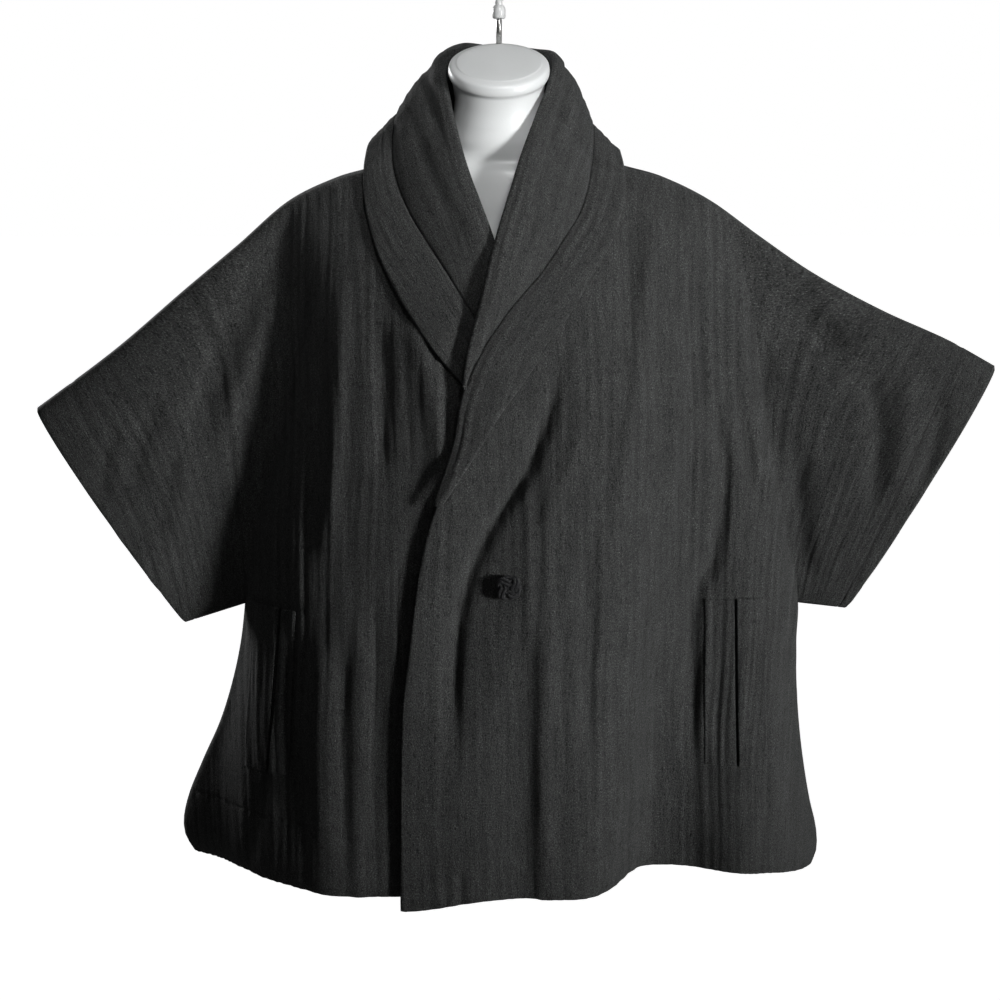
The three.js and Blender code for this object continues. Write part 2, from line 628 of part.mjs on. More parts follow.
function collarSheet(side) {
  const sheet = new Sheet();
  const rows = [];
  for (let i = 0; i <= COLLAR_STATIONS; i += 1) {
    const k = (COLLAR_ENDS_AT * i) / COLLAR_STATIONS;
    const { neck, roll, seam } = collarSection(side, k);
    const before = collarSection(side, Math.max(k - 0.1, 0)).roll;
    const after = collarSection(side, k + 0.1).roll;
    const run = after.sub(before).normalize();
    const mid = neck.clone().add(seam).multiplyScalar(0.5).sub(roll).normalize();
    const outward = seam.clone().sub(neck);
    outward.addScaledVector(mid, -outward.dot(mid));
    outward.addScaledVector(run, -outward.dot(run)).normalize();
    const start = neck.clone().addScaledVector(roll.clone().sub(neck).normalize(), NECK_SEAM_GAP);
    const finish = seam.clone().addScaledVector(roll.clone().sub(seam).normalize(), BAND_SEAM_GAP / 2);
    const full = side === "right" ? 1 - ease(k, TUCK_STARTS, TUCK_FULL) : 1;
    const reach = Math.min(roll.distanceTo(start), roll.distanceTo(finish));
    const radius = Math.min(ROLL_RADIUS, ROLL_SHARE * reach);
    const round = (sign) =>
      roll.clone().addScaledVector(mid, radius).addScaledVector(outward, sign * radius);
    const controls = [
      start,
      start.clone().lerp(roll, 0.5),
      roll.clone().lerp(start, ROLL_SHARE).lerp(round(-1), full),
      roll,
      roll.clone().lerp(finish, ROLL_SHARE).lerp(round(1), full),
      roll.clone().lerp(finish, 0.5).addScaledVector(outward, COLLAR_PUFF * full),
      finish,
    ];
    const curve = new THREE.CatmullRomCurve3(controls);
    const row = [];
    for (let j = 0; j <= COLLAR_ACROSS; j += 1) {
      const p = curve.getPoint(j / COLLAR_ACROSS);
      if (i === 0) p.x = (SIGN[side] * SEAM_GAP) / 2;
      row.push(sheet.add(p, collarMark(side, k, j === COLLAR_ACROSS)));
    }
    rows.push(row);
  }
  sheet.grid(rows, side === "left");
  return sheet;
}

// The direction through both walls where the band meets the collar at station k.
function seamNormal(side, k) {
  const { roll, seam, edge, neck } = collarSection(side, k);
  const inner = k < COLLAR_ENDS_AT ? roll : neck;
  const across = edge.sub(inner);
  const run = collarSection(side, k + 0.1).seam.sub(seam);
  return run.cross(across).multiplyScalar(-SIGN[side]).normalize();
}

// The mark of a collar point: the centre back seam and the seam between collar and band are cut square.
function collarMark(side, k, onSeam) {
  if (!onSeam || k > COLLAR_ENDS_AT) return k === 0 ? "x" : null;
  const normal = seamNormal(side, k);
  return k === 0 ? normal.setX(0).normalize() : normal;
}

function bandSheet(side) {
  const sheet = new Sheet();
  const rows = [];
  for (let i = 0; i <= COLLAR_STATIONS + TAIL_STATIONS; i += 1) {
    const tail = Math.max(i - COLLAR_STATIONS, 0) / TAIL_STATIONS;
    const along = Math.min(i / COLLAR_STATIONS, 1);
    const k = COLLAR_ENDS_AT * along + (BAND_ENDS_AT - COLLAR_ENDS_AT) * tail;
    const { seam, edge } = collarSection(side, k);
    const across = edge.clone().sub(seam).normalize();
    const start = seam.clone().addScaledVector(across, BAND_SEAM_GAP / 2);
    const row = [];
    for (let j = 0; j <= BAND_ACROSS; j += 1) {
      const t = j / BAND_ACROSS;
      const p = start.clone().lerp(edge, t);
      p.y += (p.y > 0 ? 1 : -1) * BAND_PUFF * Math.sin(Math.PI * t);
      if (i === 0) p.x = (SIGN[side] * SEAM_GAP) / 2;
      row.push(sheet.add(p, collarMark(side, k, j === 0)));
    }
    rows.push(row);
  }
  sheet.grid(rows, side === "left");
  return sheet;
}

// One welt of a pocket, made from the panel's points moved out.
function weltSheet(side, which) {
  const sheet = new Sheet();
  const p = POCKETS[side];
  const layer = LAYER[side];
  const rows = [];
  for (let i = 0; i <= WELT_ROWS; i += 1) {
    const t = i / WELT_ROWS;
    const at = (key) => lerp(p.top[key], p.foot[key], t);
    const up = at("up");
    const slit = at("slit");
    const inner = at("inner");
    const outer = at("outer");
    const from = which === "front" ? inner : slit + SLIT_GAP / 2;
    const to = which === "front" ? slit - SLIT_GAP / 2 : outer;
    const row = [from, (from + to) / 2, to].map((out) => {
      const point = clothPoint("front", layer, SIGN[side] * out, up);
      const beside = clothPoint("front", layer, SIGN[side] * (out + 1), up);
      const lower = clothPoint("front", layer, SIGN[side] * out, up - 1);
      const normal = beside.sub(point).cross(lower.sub(point)).normalize();
      return sheet.add(point.addScaledVector(normal, Math.sign(-normal.y) * WELT_STANDS_OFF));
    });
    rows.push(row);
  }
  sheet.grid(rows, side === "left");
  return sheet;
}

// The button: a flattened ball whose plan is slightly square.
function buttonGeometry() {
  const sides = BUTTON_SIDES;
  const rings = BUTTON_RINGS;
  const at = clothPoint("front", "upper", BUTTON.x, BUTTON.up);
  const vertices = [];
  const faces = [];
  for (let i = 0; i <= rings; i += 1) {
    const polar = (Math.PI * i) / rings;
    for (let j = 0; j < sides; j += 1) {
      const turn = (2 * Math.PI * j) / sides;
      const c = Math.cos(turn);
      const s = Math.sin(turn);
      const n = BUTTON.square;
      const square = (Math.abs(c) ** n + Math.abs(s) ** n) ** (-1 / n);
      const r = BUTTON.radius * Math.sin(polar) * square;
      const y = at.y - BUTTON.standsOff - (BUTTON.thick / 2) * (1 - Math.cos(polar));
      vertices.push(new THREE.Vector3(at.x + r * c, y, at.z + r * s));
    }
  }
  for (let i = 0; i < rings; i += 1) {
    for (let j = 0; j < sides; j += 1) {
      const k = (j + 1) % sides;
      faces.push([i * sides + j, i * sides + k, (i + 1) * sides + k, (i + 1) * sides + j]);
    }
  }
  return solidFrom(vertices, faces);
}

// The torso form: rings from the foot to the cap, closed flat at the foot and domed at the top.
function formGeometry() {
  const vertices = [];
  const faces = [];
  for (const ring of FORM) {
    const lean = THREE.MathUtils.degToRad(ring.lean);
    for (let j = 0; j < FORM_SIDES; j += 1) {
      const turn = (2 * Math.PI * j) / FORM_SIDES;
      const s = Math.sin(turn);
      const x = ring.half * Math.cos(turn);
      const y = ring.deep * Math.sign(s) * Math.abs(s) ** (1 + ring.tip);
      vertices.push(
        new THREE.Vector3(x, ring.y + y * Math.cos(lean), ring.up + y * Math.sin(lean)),
      );
    }
  }
  for (let i = 0; i + 1 < FORM.length; i += 1) {
    for (let j = 0; j < FORM_SIDES; j += 1) {
      const k = (j + 1) % FORM_SIDES;
      const a = i * FORM_SIDES;
      const b = a + FORM_SIDES;
      faces.push([a + j, a + k, b + k, b + j]);
    }
  }
  const ringOf = (i) => Array.from({ length: FORM_SIDES }, (_, j) => i * FORM_SIDES + j);
  faces.push(ringOf(0).reverse(), ringOf(FORM.length - 1));
  return solidFrom(vertices, faces);
}

// The hook: a straight stem, then a round bend that opens towards -X.
function hookGeometry() {
  const radius = HOOK_INNER + HOOK_WIRE;
  const centreUp = HEM_BELOW_HOOK - HOOK_INNER;
  const points = [new THREE.Vector3(0, 0, SOCKET_TOP), new THREE.Vector3(0, 0, centreUp - radius - 2)];
  for (let turn = HOOK_STARTS_AT; turn <= HOOK_OPENS_AT; turn += HOOK_STEP) {
    const a = THREE.MathUtils.degToRad(turn - 90);
    points.push(new THREE.Vector3(radius * Math.cos(a), 0, centreUp + radius * Math.sin(a)));
  }
  const tip = points.at(-1);
  points.push(new THREE.Vector3(tip.x - HOOK_TIP, 0, tip.z - HOOK_TIP / 2));
  const wire = new THREE.Shape().absarc(0, 0, HOOK_WIRE, 0, 2 * Math.PI);
  return new THREE.ExtrudeGeometry(wire, {
    steps: HOOK_STEPS,
    curveSegments: 6,
    extrudePath: new THREE.CatmullRomCurve3(points, false, "centripetal"),
  });
}

function turned(profile, segments) {
  const lathe = new THREE.LatheGeometry(profile.map(([r, z]) => new THREE.Vector2(r, z)), segments);
  return lathe.rotateX(Math.PI / 2);
}

const pinGeometry = () =>
  turned([[0, PIN_FOOT], [PIN_RADIUS, PIN_FOOT], [PIN_RADIUS, PIN_TOP], [0, PIN_TOP]], 16);
const socketProfile = [
  [0, SOCKET_FOOT],
  [SOCKET_RADIUS - 1.5, SOCKET_FOOT],
  [SOCKET_RADIUS, SOCKET_FOOT + 2],
  [SOCKET_RADIUS, SOCKET_TOP - 3],
  [HOOK_WIRE + 1, SOCKET_TOP - SEAM_GAP],
  [0, SOCKET_TOP - SEAM_GAP],
];

const coat = new THREE.Group();
coat.position.set(0, -SHOULDER_BEFORE_HOOK, -HEM_BELOW_HOOK);
const hanger = new THREE.Group();
hanger.position.set(0, 0, -HEM_BELOW_HOOK);

function place(group, name, geometry, material) {
  const mesh = new THREE.Mesh(geometry, material.clone());
  mesh.name = name;
  group.add(mesh);
}

place(coat, "back", backPanel(), materials.cloth);
for (const side of ["left", "right"]) {
  place(coat, "front_" + side, frontPanel(side), materials.cloth);
  place(coat, "collar_" + side, collarSheet(side).wall(COLLAR_CLOTH), materials.cloth);
  place(coat, "collar_band_" + side, bandSheet(side).wall(COLLAR_CLOTH), materials.cloth);
  for (const which of ["front", "side"]) {
    place(coat, "welt_" + side + "_" + which, weltSheet(side, which).wall(WELT_CLOTH), materials.cloth);
  }
}
place(coat, "button", buttonGeometry(), materials.cord);
place(coat, "torso_form", formGeometry(), materials.form);
place(hanger, "neck_pin", pinGeometry(), materials.metal);
place(hanger, "hook_socket", turned(socketProfile, 20), materials.form);
place(hanger, "hook", hookGeometry(), materials.form);

const part = new THREE.Group();
part.add(coat, hanger);
export default part;
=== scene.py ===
# The finished look of a wool cape coat on its hanging torso form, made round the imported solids.
# Sizes are in millimetres in the coat's own frame: x is the wearer's left, y is 0 on the shoulder
# seam and grows towards the back, and up is the height over the hem.
import math

import bpy
import numpy as np
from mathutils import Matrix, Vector


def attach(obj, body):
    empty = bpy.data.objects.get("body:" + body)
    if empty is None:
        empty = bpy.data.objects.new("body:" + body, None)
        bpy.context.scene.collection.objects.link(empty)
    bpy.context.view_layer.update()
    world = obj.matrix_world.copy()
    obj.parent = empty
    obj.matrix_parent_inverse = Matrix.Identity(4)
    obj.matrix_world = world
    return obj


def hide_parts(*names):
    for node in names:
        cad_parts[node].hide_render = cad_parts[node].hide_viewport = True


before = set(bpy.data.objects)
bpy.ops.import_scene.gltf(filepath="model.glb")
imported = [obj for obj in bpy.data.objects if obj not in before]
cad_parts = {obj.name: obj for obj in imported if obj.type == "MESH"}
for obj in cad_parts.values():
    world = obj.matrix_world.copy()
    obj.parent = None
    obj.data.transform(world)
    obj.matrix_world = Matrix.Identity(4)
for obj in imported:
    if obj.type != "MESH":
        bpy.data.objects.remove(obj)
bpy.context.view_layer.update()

# Place of the coat's frame: the hem below the hook's bend, and the shoulders before it.
HEM_BELOW_HOOK = 891
SHOULDER_BEFORE_HOOK = 34
MM = 0.001


def table(names, *rows):
    """A table with named columns, as a dict of arrays."""
    return dict(zip(names.split(), np.array(rows, float).T))


def each(rows):
    """The rows of a table, each as a dict."""
    return [dict(zip(rows, values)) for values in zip(*rows.values())]


# Cloth thicknesses: plain wool, the doubled collar, the turned hems and the pocket welts.
CLOTH = 2.0
COLLAR_CLOTH = 3.5
TURNED = 1.5
WELT_CLOTH = 1.2
EDGE_ROUND = 0.45
SEAM_GAP = 0.04

# Height of the shoulder line along each sleeve's top, from the far side of the neck to the cuff.
SHOULDER = table(
    "out left right",
    (-72, 699, 699), (0, 722, 722), (72, 699, 699), (125, 685, 684), (160, 675, 674),
    (207, 652, 651), (256, 617, 609), (309, 581, 565), (376, 545, 508), (443, 515, 458),
    (490, 489, 424),
)

# Half width of the body: the side seam below the underarm, the edge of the draped body above it.
BODY = table(
    "up left right",
    (720, 222, 206), (600, 240, 212), (500, 256, 214), (420, 268, 226), (330, 286, 246),
    (253, 299, 254), (212, 298, 259), (171, 299, 268), (130, 302, 281), (90, 307, 299),
    (50, 314, 315), (20, 321, 319), (0, 321, 309), (-10, 318, 302),
)

# Cuffs and underarms.
SLEEVE = {
    "left": dict(cuff_out=488, under_out=347, under_up=248, pit_out=299, pit_up=253),
    "right": dict(cuff_out=456, under_out=315, under_up=233, pit_out=254, pit_up=252),
}
SLEEVE_DEPTH = {"front": 30, "back": 34}
SLEEVE_STARTS = 90
SLEEVE_FULL = 215
SLEEVE_FORWARD = 0.06
SHOULDER_OVER_PIT = {"left": 270, "right": 226}

# Depth of the cloth from the shoulder seam at the centre line.
CENTRE = table(
    "up front back",
    (727, 58, 92), (655, 73, 104), (612, 92, 109), (563, 114, 113), (505, 131, 117),
    (462, 142, 119), (382, 155, 123), (314, 161, 127), (239, 166, 132), (173, 170, 137),
    (0, 179, 150), (-12, 180, 151),
)
ROLL = {"front": 90, "back": 82}
PLAN = {"front": (2.3, 1.8), "back": (2.7, 1.8)}
BLEND = 4
FOLD_FADE = 8
FOLD_GROWS = 0.2
FOLD_DIES = 0.35
FOLD_GONE = 1.01

# Neck and front edge of each front panel: out is negative where it laps past the centre line.
FRONT_EDGE = table(
    "up left right",
    (699, 72, 72), (655, 60, 58), (612, 38, 34), (563, 10, 12), (505, -12, 2), (462, -22, -6),
    (416, -36, -16), (382, -52, -32), (362, -61, -46), (314, -73, -66), (239, -83, -79),
    (173, -90, -86), (0, -92, -91), (-12, -92, -91),
)
NECK_OUT = 72
NECK_UP = 699

# How far the upper front stands off the lower one, and where that lap fades out.
LAP = 12
LAP_OUT = (70, 170)
LAP_UP = (540, 650)

# Hem heights: level, lower at the upper front's corner and at the left side seam.
FRONT_CORNER_DROP = 11
FRONT_CORNER_REACH = 90
LEFT_SIDE_DROP = 9
SIDE_DROP_REACH = 60

# The largest folds, as in the solids: troughs that run down a face, and ridges where start and
# end are negative.
FOLD_NAMES = "top foot x_top x_foot bow start end grow inner outer"
FOLDS = {
    "front": table(
        FOLD_NAMES,
        (660, -40, 186, 145, 8, 4, 118, 1.7, 36, 72), (500, 60, 212, 196, -4, 2, 9, 1, 22, 24),
        (545, 120, 66, -50, -18, 4, 15, 0.8, 34, 34), (285, -40, 28, 26, -6, 1, 11, 0.8, 26, 30),
        (650, 470, 226, 335, -4, 10, 4, 1, 34, 30), (640, 360, -205, -316, -6, 9, 5, 1, 26, 30),
        (620, 250, -190, -262, 10, 10, 14, 1, 30, 26), (560, 380, -84, -50, 0, -7, -3, 1, 24, 26),
        (420, -40, -290, -284, 0, 4, 42, 1.2, 40, 46),
        (330, -40, -150, -152, 0, 0, -20, 1.2, 40, 44), (270, 20, -196, -198, 3, 2, 9, 1, 20, 20),
    ),
    "back": table(
        FOLD_NAMES,
        (640, -40, -60, -84, 6, 2, 30, 1.4, 44, 36), (660, -40, 96, 62, -8, 3, 42, 1.5, 34, 52),
        (560, -40, 170, 196, 6, 2, 34, 1.2, 40, 34),
        (520, -40, -168, -204, -4, 3, 46, 1.3, 38, 48), (330, -40, -6, -14, 0, 0, -14, 1, 34, 34),
        (650, 400, 215, 330, -6, 9, 4, 1, 30, 34), (645, 350, -208, -300, 6, 10, 5, 1, 34, 28),
    ),
}

# Finer creases: depth at the deepest place, half widths towards -x and +x, and the line that each
# follows, from its top down. A negative depth is a ridge.
FRONT_CREASES = [
    (4, 9, 12, [(182, 650), (186, 553), (188, 491), (184, 428), (172, 363), (160, 282),
      (154, 189), (146, 57)]),
    (-5, 12, 10, [(166, 600), (168, 520), (170, 440), (168, 340), (166, 292), (163, 194),
      (160, 120)]),
    (5, 8, 9, [(203, 520), (208, 460), (218, 394), (208, 309), (191, 270), (192, 85)]),
    (-5, 12, 12, [(226, 600), (234, 540), (246, 455), (262, 390), (285, 318)]),
    (6, 10, 22, [(240, 640), (262, 582), (307, 530), (342, 490)]),
    (5, 12, 12, [(297, 420), (296, 360), (304, 263)]),
    (5, 12, 12, [(128, 650), (126, 600), (122, 540)]),
    (-4, 10, 10, [(141, 640), (139, 560), (133, 493), (118, 400), (104, 320)]),
    (4, 9, 9, [(83, 360), (83, 319), (84, 220), (85, 110)]),
    (-5, 9, 9, [(43, 292), (44, 240), (42, 122), (44, 40)]),
    (-1.8, 4, 4, [(25, 440), (27, 360), (28, 300), (26, 220)]),
    (-1.6, 4, 5, [(46, 440), (46, 350), (45, 250)]),
    (-4, 9, 10, [(196, 300), (197, 240), (199, 170), (198, 80)]),
    (6.5, 9, 8, [(66, 540), (50, 470), (25, 400), (-4, 356), (-27, 308), (-38, 262), (-43, 192),
      (-45, 96)]),
    (-2, 8, 8, [(86, 470), (62, 400), (38, 350), (24, 330)]),
    (3, 8, 8, [(230, 500), (240, 420), (256, 330)]),
    (3, 9, 9, [(112, 290), (108, 200), (112, 100)]),
    (-3, 10, 10, [(262, 250), (268, 160), (276, 60)]),
    (7, 8, 15, [(-196, 650), (-203, 640), (-232, 592), (-268, 529), (-288, 475), (-303, 420)]),
    (-4, 14, 14, [(-205, 600), (-232, 530), (-258, 460), (-274, 400)]),
    (9, 26, 8, [(-188, 620), (-193, 529), (-209, 455), (-225, 389), (-246, 319), (-258, 262)]),
    (5, 7, 7, [(-170, 540), (-171, 514), (-173, 426), (-181, 349), (-186, 300)]),
    (-4, 9, 9, [(-150, 600), (-152, 500), (-158, 400), (-166, 290)]),
    (4, 10, 8, [(-112, 560), (-108, 480), (-112, 380)]),
    (-5, 12, 12, [(-82, 560), (-59, 462), (-52, 380)]),
    (4, 8, 8, [(-197, 258), (-198, 170), (-197, 76)]),
    (4, 8, 8, [(-146, 260), (-148, 150), (-146, 37)]),
    (-3, 10, 10, [(-170, 250), (-172, 160), (-170, 60)]),
    (3, 9, 9, [(-118, 300), (-116, 180), (-120, 60)]),
    (3, 8, 8, [(-222, 120), (-232, 70), (-246, 10)]),
    (3, 12, 12, [(-330, 470), (-352, 420), (-362, 360)]),
    (-3, 10, 10, [(-300, 420), (-312, 370), (-322, 310)]),
    (2.5, 8, 8, [(-372, 440), (-386, 400), (-392, 350)]),
    (3, 10, 10, [(360, 500), (372, 430), (366, 340)]),
    (-3, 12, 12, [(402, 500), (398, 430), (386, 350)]),
    (2.5, 8, 8, [(436, 480), (428, 420), (412, 360)]),
    (2.5, 3.5, 3.5, [(-37, 28), (-36, 14), (-36, 2)]),
]
BACK_CREASES = [
    (5, 9, 12, [(-58, 600), (-60, 480), (-66, 340), (-76, 180), (-84, 40)]),
    (-5, 12, 10, [(-26, 560), (-30, 420), (-36, 260), (-44, 90)]),
    (4, 8, 10, [(16, 480), (12, 360), (20, 220), (14, 60)]),
    (6, 9, 12, [(98, 620), (96, 500), (84, 360), (74, 200), (64, 40)]),
    (-4, 10, 10, [(128, 600), (126, 470), (122, 330), (130, 150)]),
    (5, 9, 9, [(170, 560), (176, 430), (184, 300), (196, 120)]),
    (-4, 10, 10, [(210, 540), (222, 430), (236, 300), (248, 140)]),
    (7, 20, 8, [(214, 650), (246, 585), (282, 520), (316, 440)]),
    (5, 10, 12, [(262, 470), (276, 390), (296, 290)]),
    (4, 9, 9, [(-108, 540), (-112, 400), (-120, 250), (-126, 90)]),
    (5, 10, 9, [(-166, 520), (-174, 380), (-188, 240), (-204, 60)]),
    (-4, 10, 10, [(-140, 500), (-146, 360), (-152, 200), (-160, 60)]),
    (-4, 10, 10, [(-214, 500), (-222, 380), (-234, 260)]),
    (8, 8, 20, [(-206, 650), (-232, 590), (-262, 520), (-286, 440), (-300, 370)]),
    (4, 12, 12, [(-318, 480), (-338, 410), (-346, 350)]),
    (4, 12, 12, [(356, 510), (364, 430), (356, 350)]),
    (3, 9, 9, [(420, 480), (414, 420), (398, 350)]),
    (-3, 10, 10, [(0, 640), (2, 560), (-2, 470)]),
]
CREASES = {"front": FRONT_CREASES, "back": BACK_CREASES}
CREASE_FADES = 0.28
CREASE_DEEPER = 1.5
# A crease that reaches the hem grows shallower there, over this part of its run.
CREASE_SHALLOWS = 0.6
SHALLOWS_OVER = (0.8, 1.3)

# Ribs of the crinkled wool: how far apart, how high, and how far along before they change.
RIB_PITCH = 13
RIB_HEIGHT = 0.34
RIB_CHANGES = 48
RIB_SEED = 7
RIB_FADES = 14
RIB_TABLE = (40, 1400)
RIB_STARTS = (4, 700)
RIB_REACH = 20
RIB_OFFSET = {"left": 260, "right": 470}
# Ribs wander from side to side: how far, over what length of cloth, and what breadth.
WANDER = (2.0, 83)
RIPPLE = (1.2, 31, 60)
SLANT = 0.5
SLANT_FROM = (200, 450)
SLANT_UP = 330

# Pockets: a slit between two welts, by distance from the centre line at the top and at the foot.
POCKETS = {
    "left": dict(up=(269, 104), inner=(201, 203), slit=(230, 234), outer=(259, 262)),
    "right": dict(up=(261, 103), inner=(195, 203), slit=(211, 224), outer=(242, 249)),
}
SLIT_GAP = 3.4
SLIT_DEPTH = 6
SLIT_WIDTH = 2.6
SLIT_OPENS = (-0.01, 0.03)
SLIT_CLOSES = (0.97, 1.01)
WELT_LIES_OFF = 0.1
# The seam over each pocket: its height and how far out it starts.
POCKET_SEAM = {"left": (272, 196), "right": (264, 190)}
POCKET_SEAM_DEPTH = 1.3
POCKET_SEAM_WIDTH = 2.6
POCKET_SEAM_GROWS = 8

# Height of the stitched hem line over the hem, at the front edge and at the side.
HEM_LINE = (38, 62)
HEM_LINE_OUT = (90, 190)
PRESSED = 0.8
PRESSED_WIDTH = 1.8
HEM_STEP = 4
CUFF_LINE = 32
CUFF_STEP = 3
CUFF_SLANT = 0.93
WELT_STITCH_IN = 1.8

# Sections of the collar from the centre back down each front: roll line, seam to the band, outer
# edge, and the height where the section leaves the panel's neck edge.
COLLAR_NAMES = "roll_out roll_y roll_up seam_out seam_y seam_up edge_out edge_y edge_up neck_up"
COLLAR = {
    "left": table(
        COLLAR_NAMES,
        (0, 80, 803, 0, 109, 694, 0, 113, 660, 699), (36, 68, 800, 68, 80, 716, 82, 84, 685, 699),
        (55, 30, 793, 90, 20, 728, 112, 20, 702, 699),
        (50, -15, 765, 92, -14, 707, 119, -16, 692, 692),
        (38, -38, 736, 87, -40, 673, 120, -45, 660, 670),
        (24, -68, 700, 77, -70, 642, 109, -74, 622, 642),
        (10, -98, 655, 60, -92, 616, 93, -98, 594, 612),
        (-3, -122, 613, 39, -112, 586, 72, -120, 560, 580),
        (-15, -141, 563, 12, -133, 556, 48, -141, 525, 544),
        (-27, -151, 517, -17, -148, 514, 23, -155, 489, 506),
        (-34, -157, 473, -34, -157, 473, 0, -165, 458, 470),
        (-41, -163, 434, -41, -163, 434, -18, -171, 429, 434),
        (-50, -168, 404, -50, -168, 404, -36, -174, 401, 404),
        (-60, -171, 374, -60, -171, 374, -53, -174, 376, 376),
    ),
    "right": table(
        COLLAR_NAMES,
        (0, 80, 803, 0, 109, 694, 0, 113, 660, 699), (36, 67, 806, 72, 80, 722, 88, 84, 692, 699),
        (56, 30, 791, 98, 20, 738, 121, 18, 712, 699),
        (51, -20, 757, 104, -12, 713, 130, -16, 692, 692),
        (43, -46, 724, 101, -38, 680, 129, -46, 656, 670),
        (33, -72, 690, 88, -67, 646, 118, -80, 614, 642),
        (20, -92, 655, 68, -93, 614, 99, -106, 574, 612),
        (4, -111, 612, 47, -113, 583, 76, -127, 538, 580),
        (-8, -119, 563, 26, -126, 550, 52, -139, 506, 544),
        (-15, -100, 520, 8, -100, 522, 28, -100, 480, 506),
        (-24, -100, 478, -24, -100, 478, 8, -100, 459, 470),
        (-30, -100, 440, -30, -100, 440, -8, -100, 432, 434),
        (-38, -100, 408, -38, -100, 408, -24, -100, 404, 404),
        (-50, -100, 378, -50, -100, 378, -42, -100, 378, 376),
    ),
}
NECK_SEAM_OUT = np.array([0.0, 44.0, 68.0])
COLLAR_ENDS = {"left": 9.8, "right": 8.6}
BAND_ENDS_AT = 13
ROLL_RADIUS = 5
ROLL_SHARE = 0.18
COLLAR_PUFF = 5
PUFF_FULL = 40
BAND_PUFF = 1.5
BAND_TURNS_OVER = 10
# How far the collar stands off the panel: where it is folded, and where only the band is left.
COLLAR_STANDS_OFF = (6, 3.1)
TAIL_LIES = (9.2, 11)
NECK_SEAM_GAP = 2
BAND_SEAM_GAP = 1.0
SEAM_DIP = 0.9
SEAM_DIP_WIDTH = 3
# Stations between which the lower collar flattens, and those where the front sections begin.
TUCK = (6.6, 8)
TUCKED_ON_FINE = (7, 8.6)
FRONT_SECTIONS = (2.2, 3.4)
# The collar leans this way where neck edge, roll and seam lie in one line.
OUTWARD = np.array([0, -2.0, 0])
# Soft valleys down the collar: stations, distance from the roll at both, depth and half width.
VALLEY_NAMES = "start end near far depth width"
VALLEYS = {
    "left": table(VALLEY_NAMES, (1.3, 5.6, 15, 24, 4.4, 6), (2.0, 8.0, 46, 22, 2.0, 7)),
    "right": table(VALLEY_NAMES, (1.3, 5.0, 21, 16, 4.6, 8), (2.4, 8.0, 44, 24, 2.2, 7)),
}

# Rings of the torso form from its foot to the neck cap. half is across, deep is front to back, lean
# tips a ring forward in degrees and tip sharpens the ends of the wide shoulder rings.
FORM = table(
    "up y half deep lean tip",
    (126, 2, 132, 62, 0, -0.1), (128, 2, 146, 73, 0, -0.1), (140, 2, 155, 81, 0, -0.1),
    (195, 3, 160, 86, 0, -0.1), (290, 0, 138, 72, 0, -0.1), (380, -6, 150, 80, 0, -0.1),
    (460, -10, 168, 90, 0, -0.1), (530, -3, 182, 86, 0, -0.05), (590, 4, 196, 72, 0, 0.15),
    (626, 2, 203, 58, 0, 0.5), (649, 0, 203, 52, 0, 0.8), (663.3, 0, 180, 49, 0, 0.8),
    (672.3, 0, 160, 47, 0, 0.8), (682.3, 0, 125, 44, 0, 0.8), (690.5, 1, 87, 40, 0, 0.8),
    (702, 1, 54, 42, 4, 0.1), (716, 1, 50, 44, 10, 0), (734, 0, 45, 44, 18, 0),
    (752, -1, 43.5, 44, 24, 0), (769, -2, 46, 46.5, 27, 0), (775, -2.5, 49, 49.5, 27, 0),
    (780, -3, 49.5, 50, 27, 0), (784, -3.5, 48, 48.5, 27, 0), (786, -4, 42, 42.5, 27, 0),
)
CAP_DOME = 1.5

# Hook, its socket and the pin in the cap.
PIN_RADIUS = 2.75
PIN_FOOT = 806
PIN_TOP = 829.7
SOCKET_RADIUS = 6.5
SOCKET_FOOT = 830
SOCKET_TOP = 843
HOOK_WIRE = 3.5
HOOK_INNER = 18.5
HOOK_TURNS = (58, 205)
HOOK_TIP = 6
TIP_END = 0.003
AXIS = 0.05

# The knotted button: a doubled cord plaited round a flattened ball, three leads by four bights.
BUTTON = dict(x=9, up=297, thick=11, stands_off=2.3)
KNOT = dict(leads=3, bights=4, reach=60, path=9.6, cord=1.6, lift=1.1, flat=0.44, core=8.2)
KNOT_SQUARE = 3
SHANK_RADIUS = 2.0
BUTTONHOLE = (3, 33)
BUTTONHOLE_PITCH = 0.9
BUTTONHOLE_BARS = ((0.4, 2.3), (-2.3, -0.4))

# Stitches: their pitch, length and thread.
STITCH_PITCH = 3.4
STITCH_LENGTH = 2.3
THREAD_RADIUS = 0.28
STITCH_SHAPE = ((0, -0.35), (0.25, 0.12), (0.75, 0.12), (1, -0.35))
STITCH_SIDES = 5
LINE_STEPS = 60
LINE_POINTS = 25
# Where hems and cuffs are stitched: distances from the centre line, and shares of a cuff.
HEM_STITCHED = {"left": ((-86, 0), (0, 303)), "right": ((97, 299),)}
BACK_STITCHED = {"left": (0, 303), "right": (0, 299)}
CUFF_STITCHED = (0.04, 0.96)

# How bright world and floor are as light, and as the camera sees them.
WORLD_GLOW = (0.036, 1.0)
FLOOR_GLOW = (0.03, 1.0)

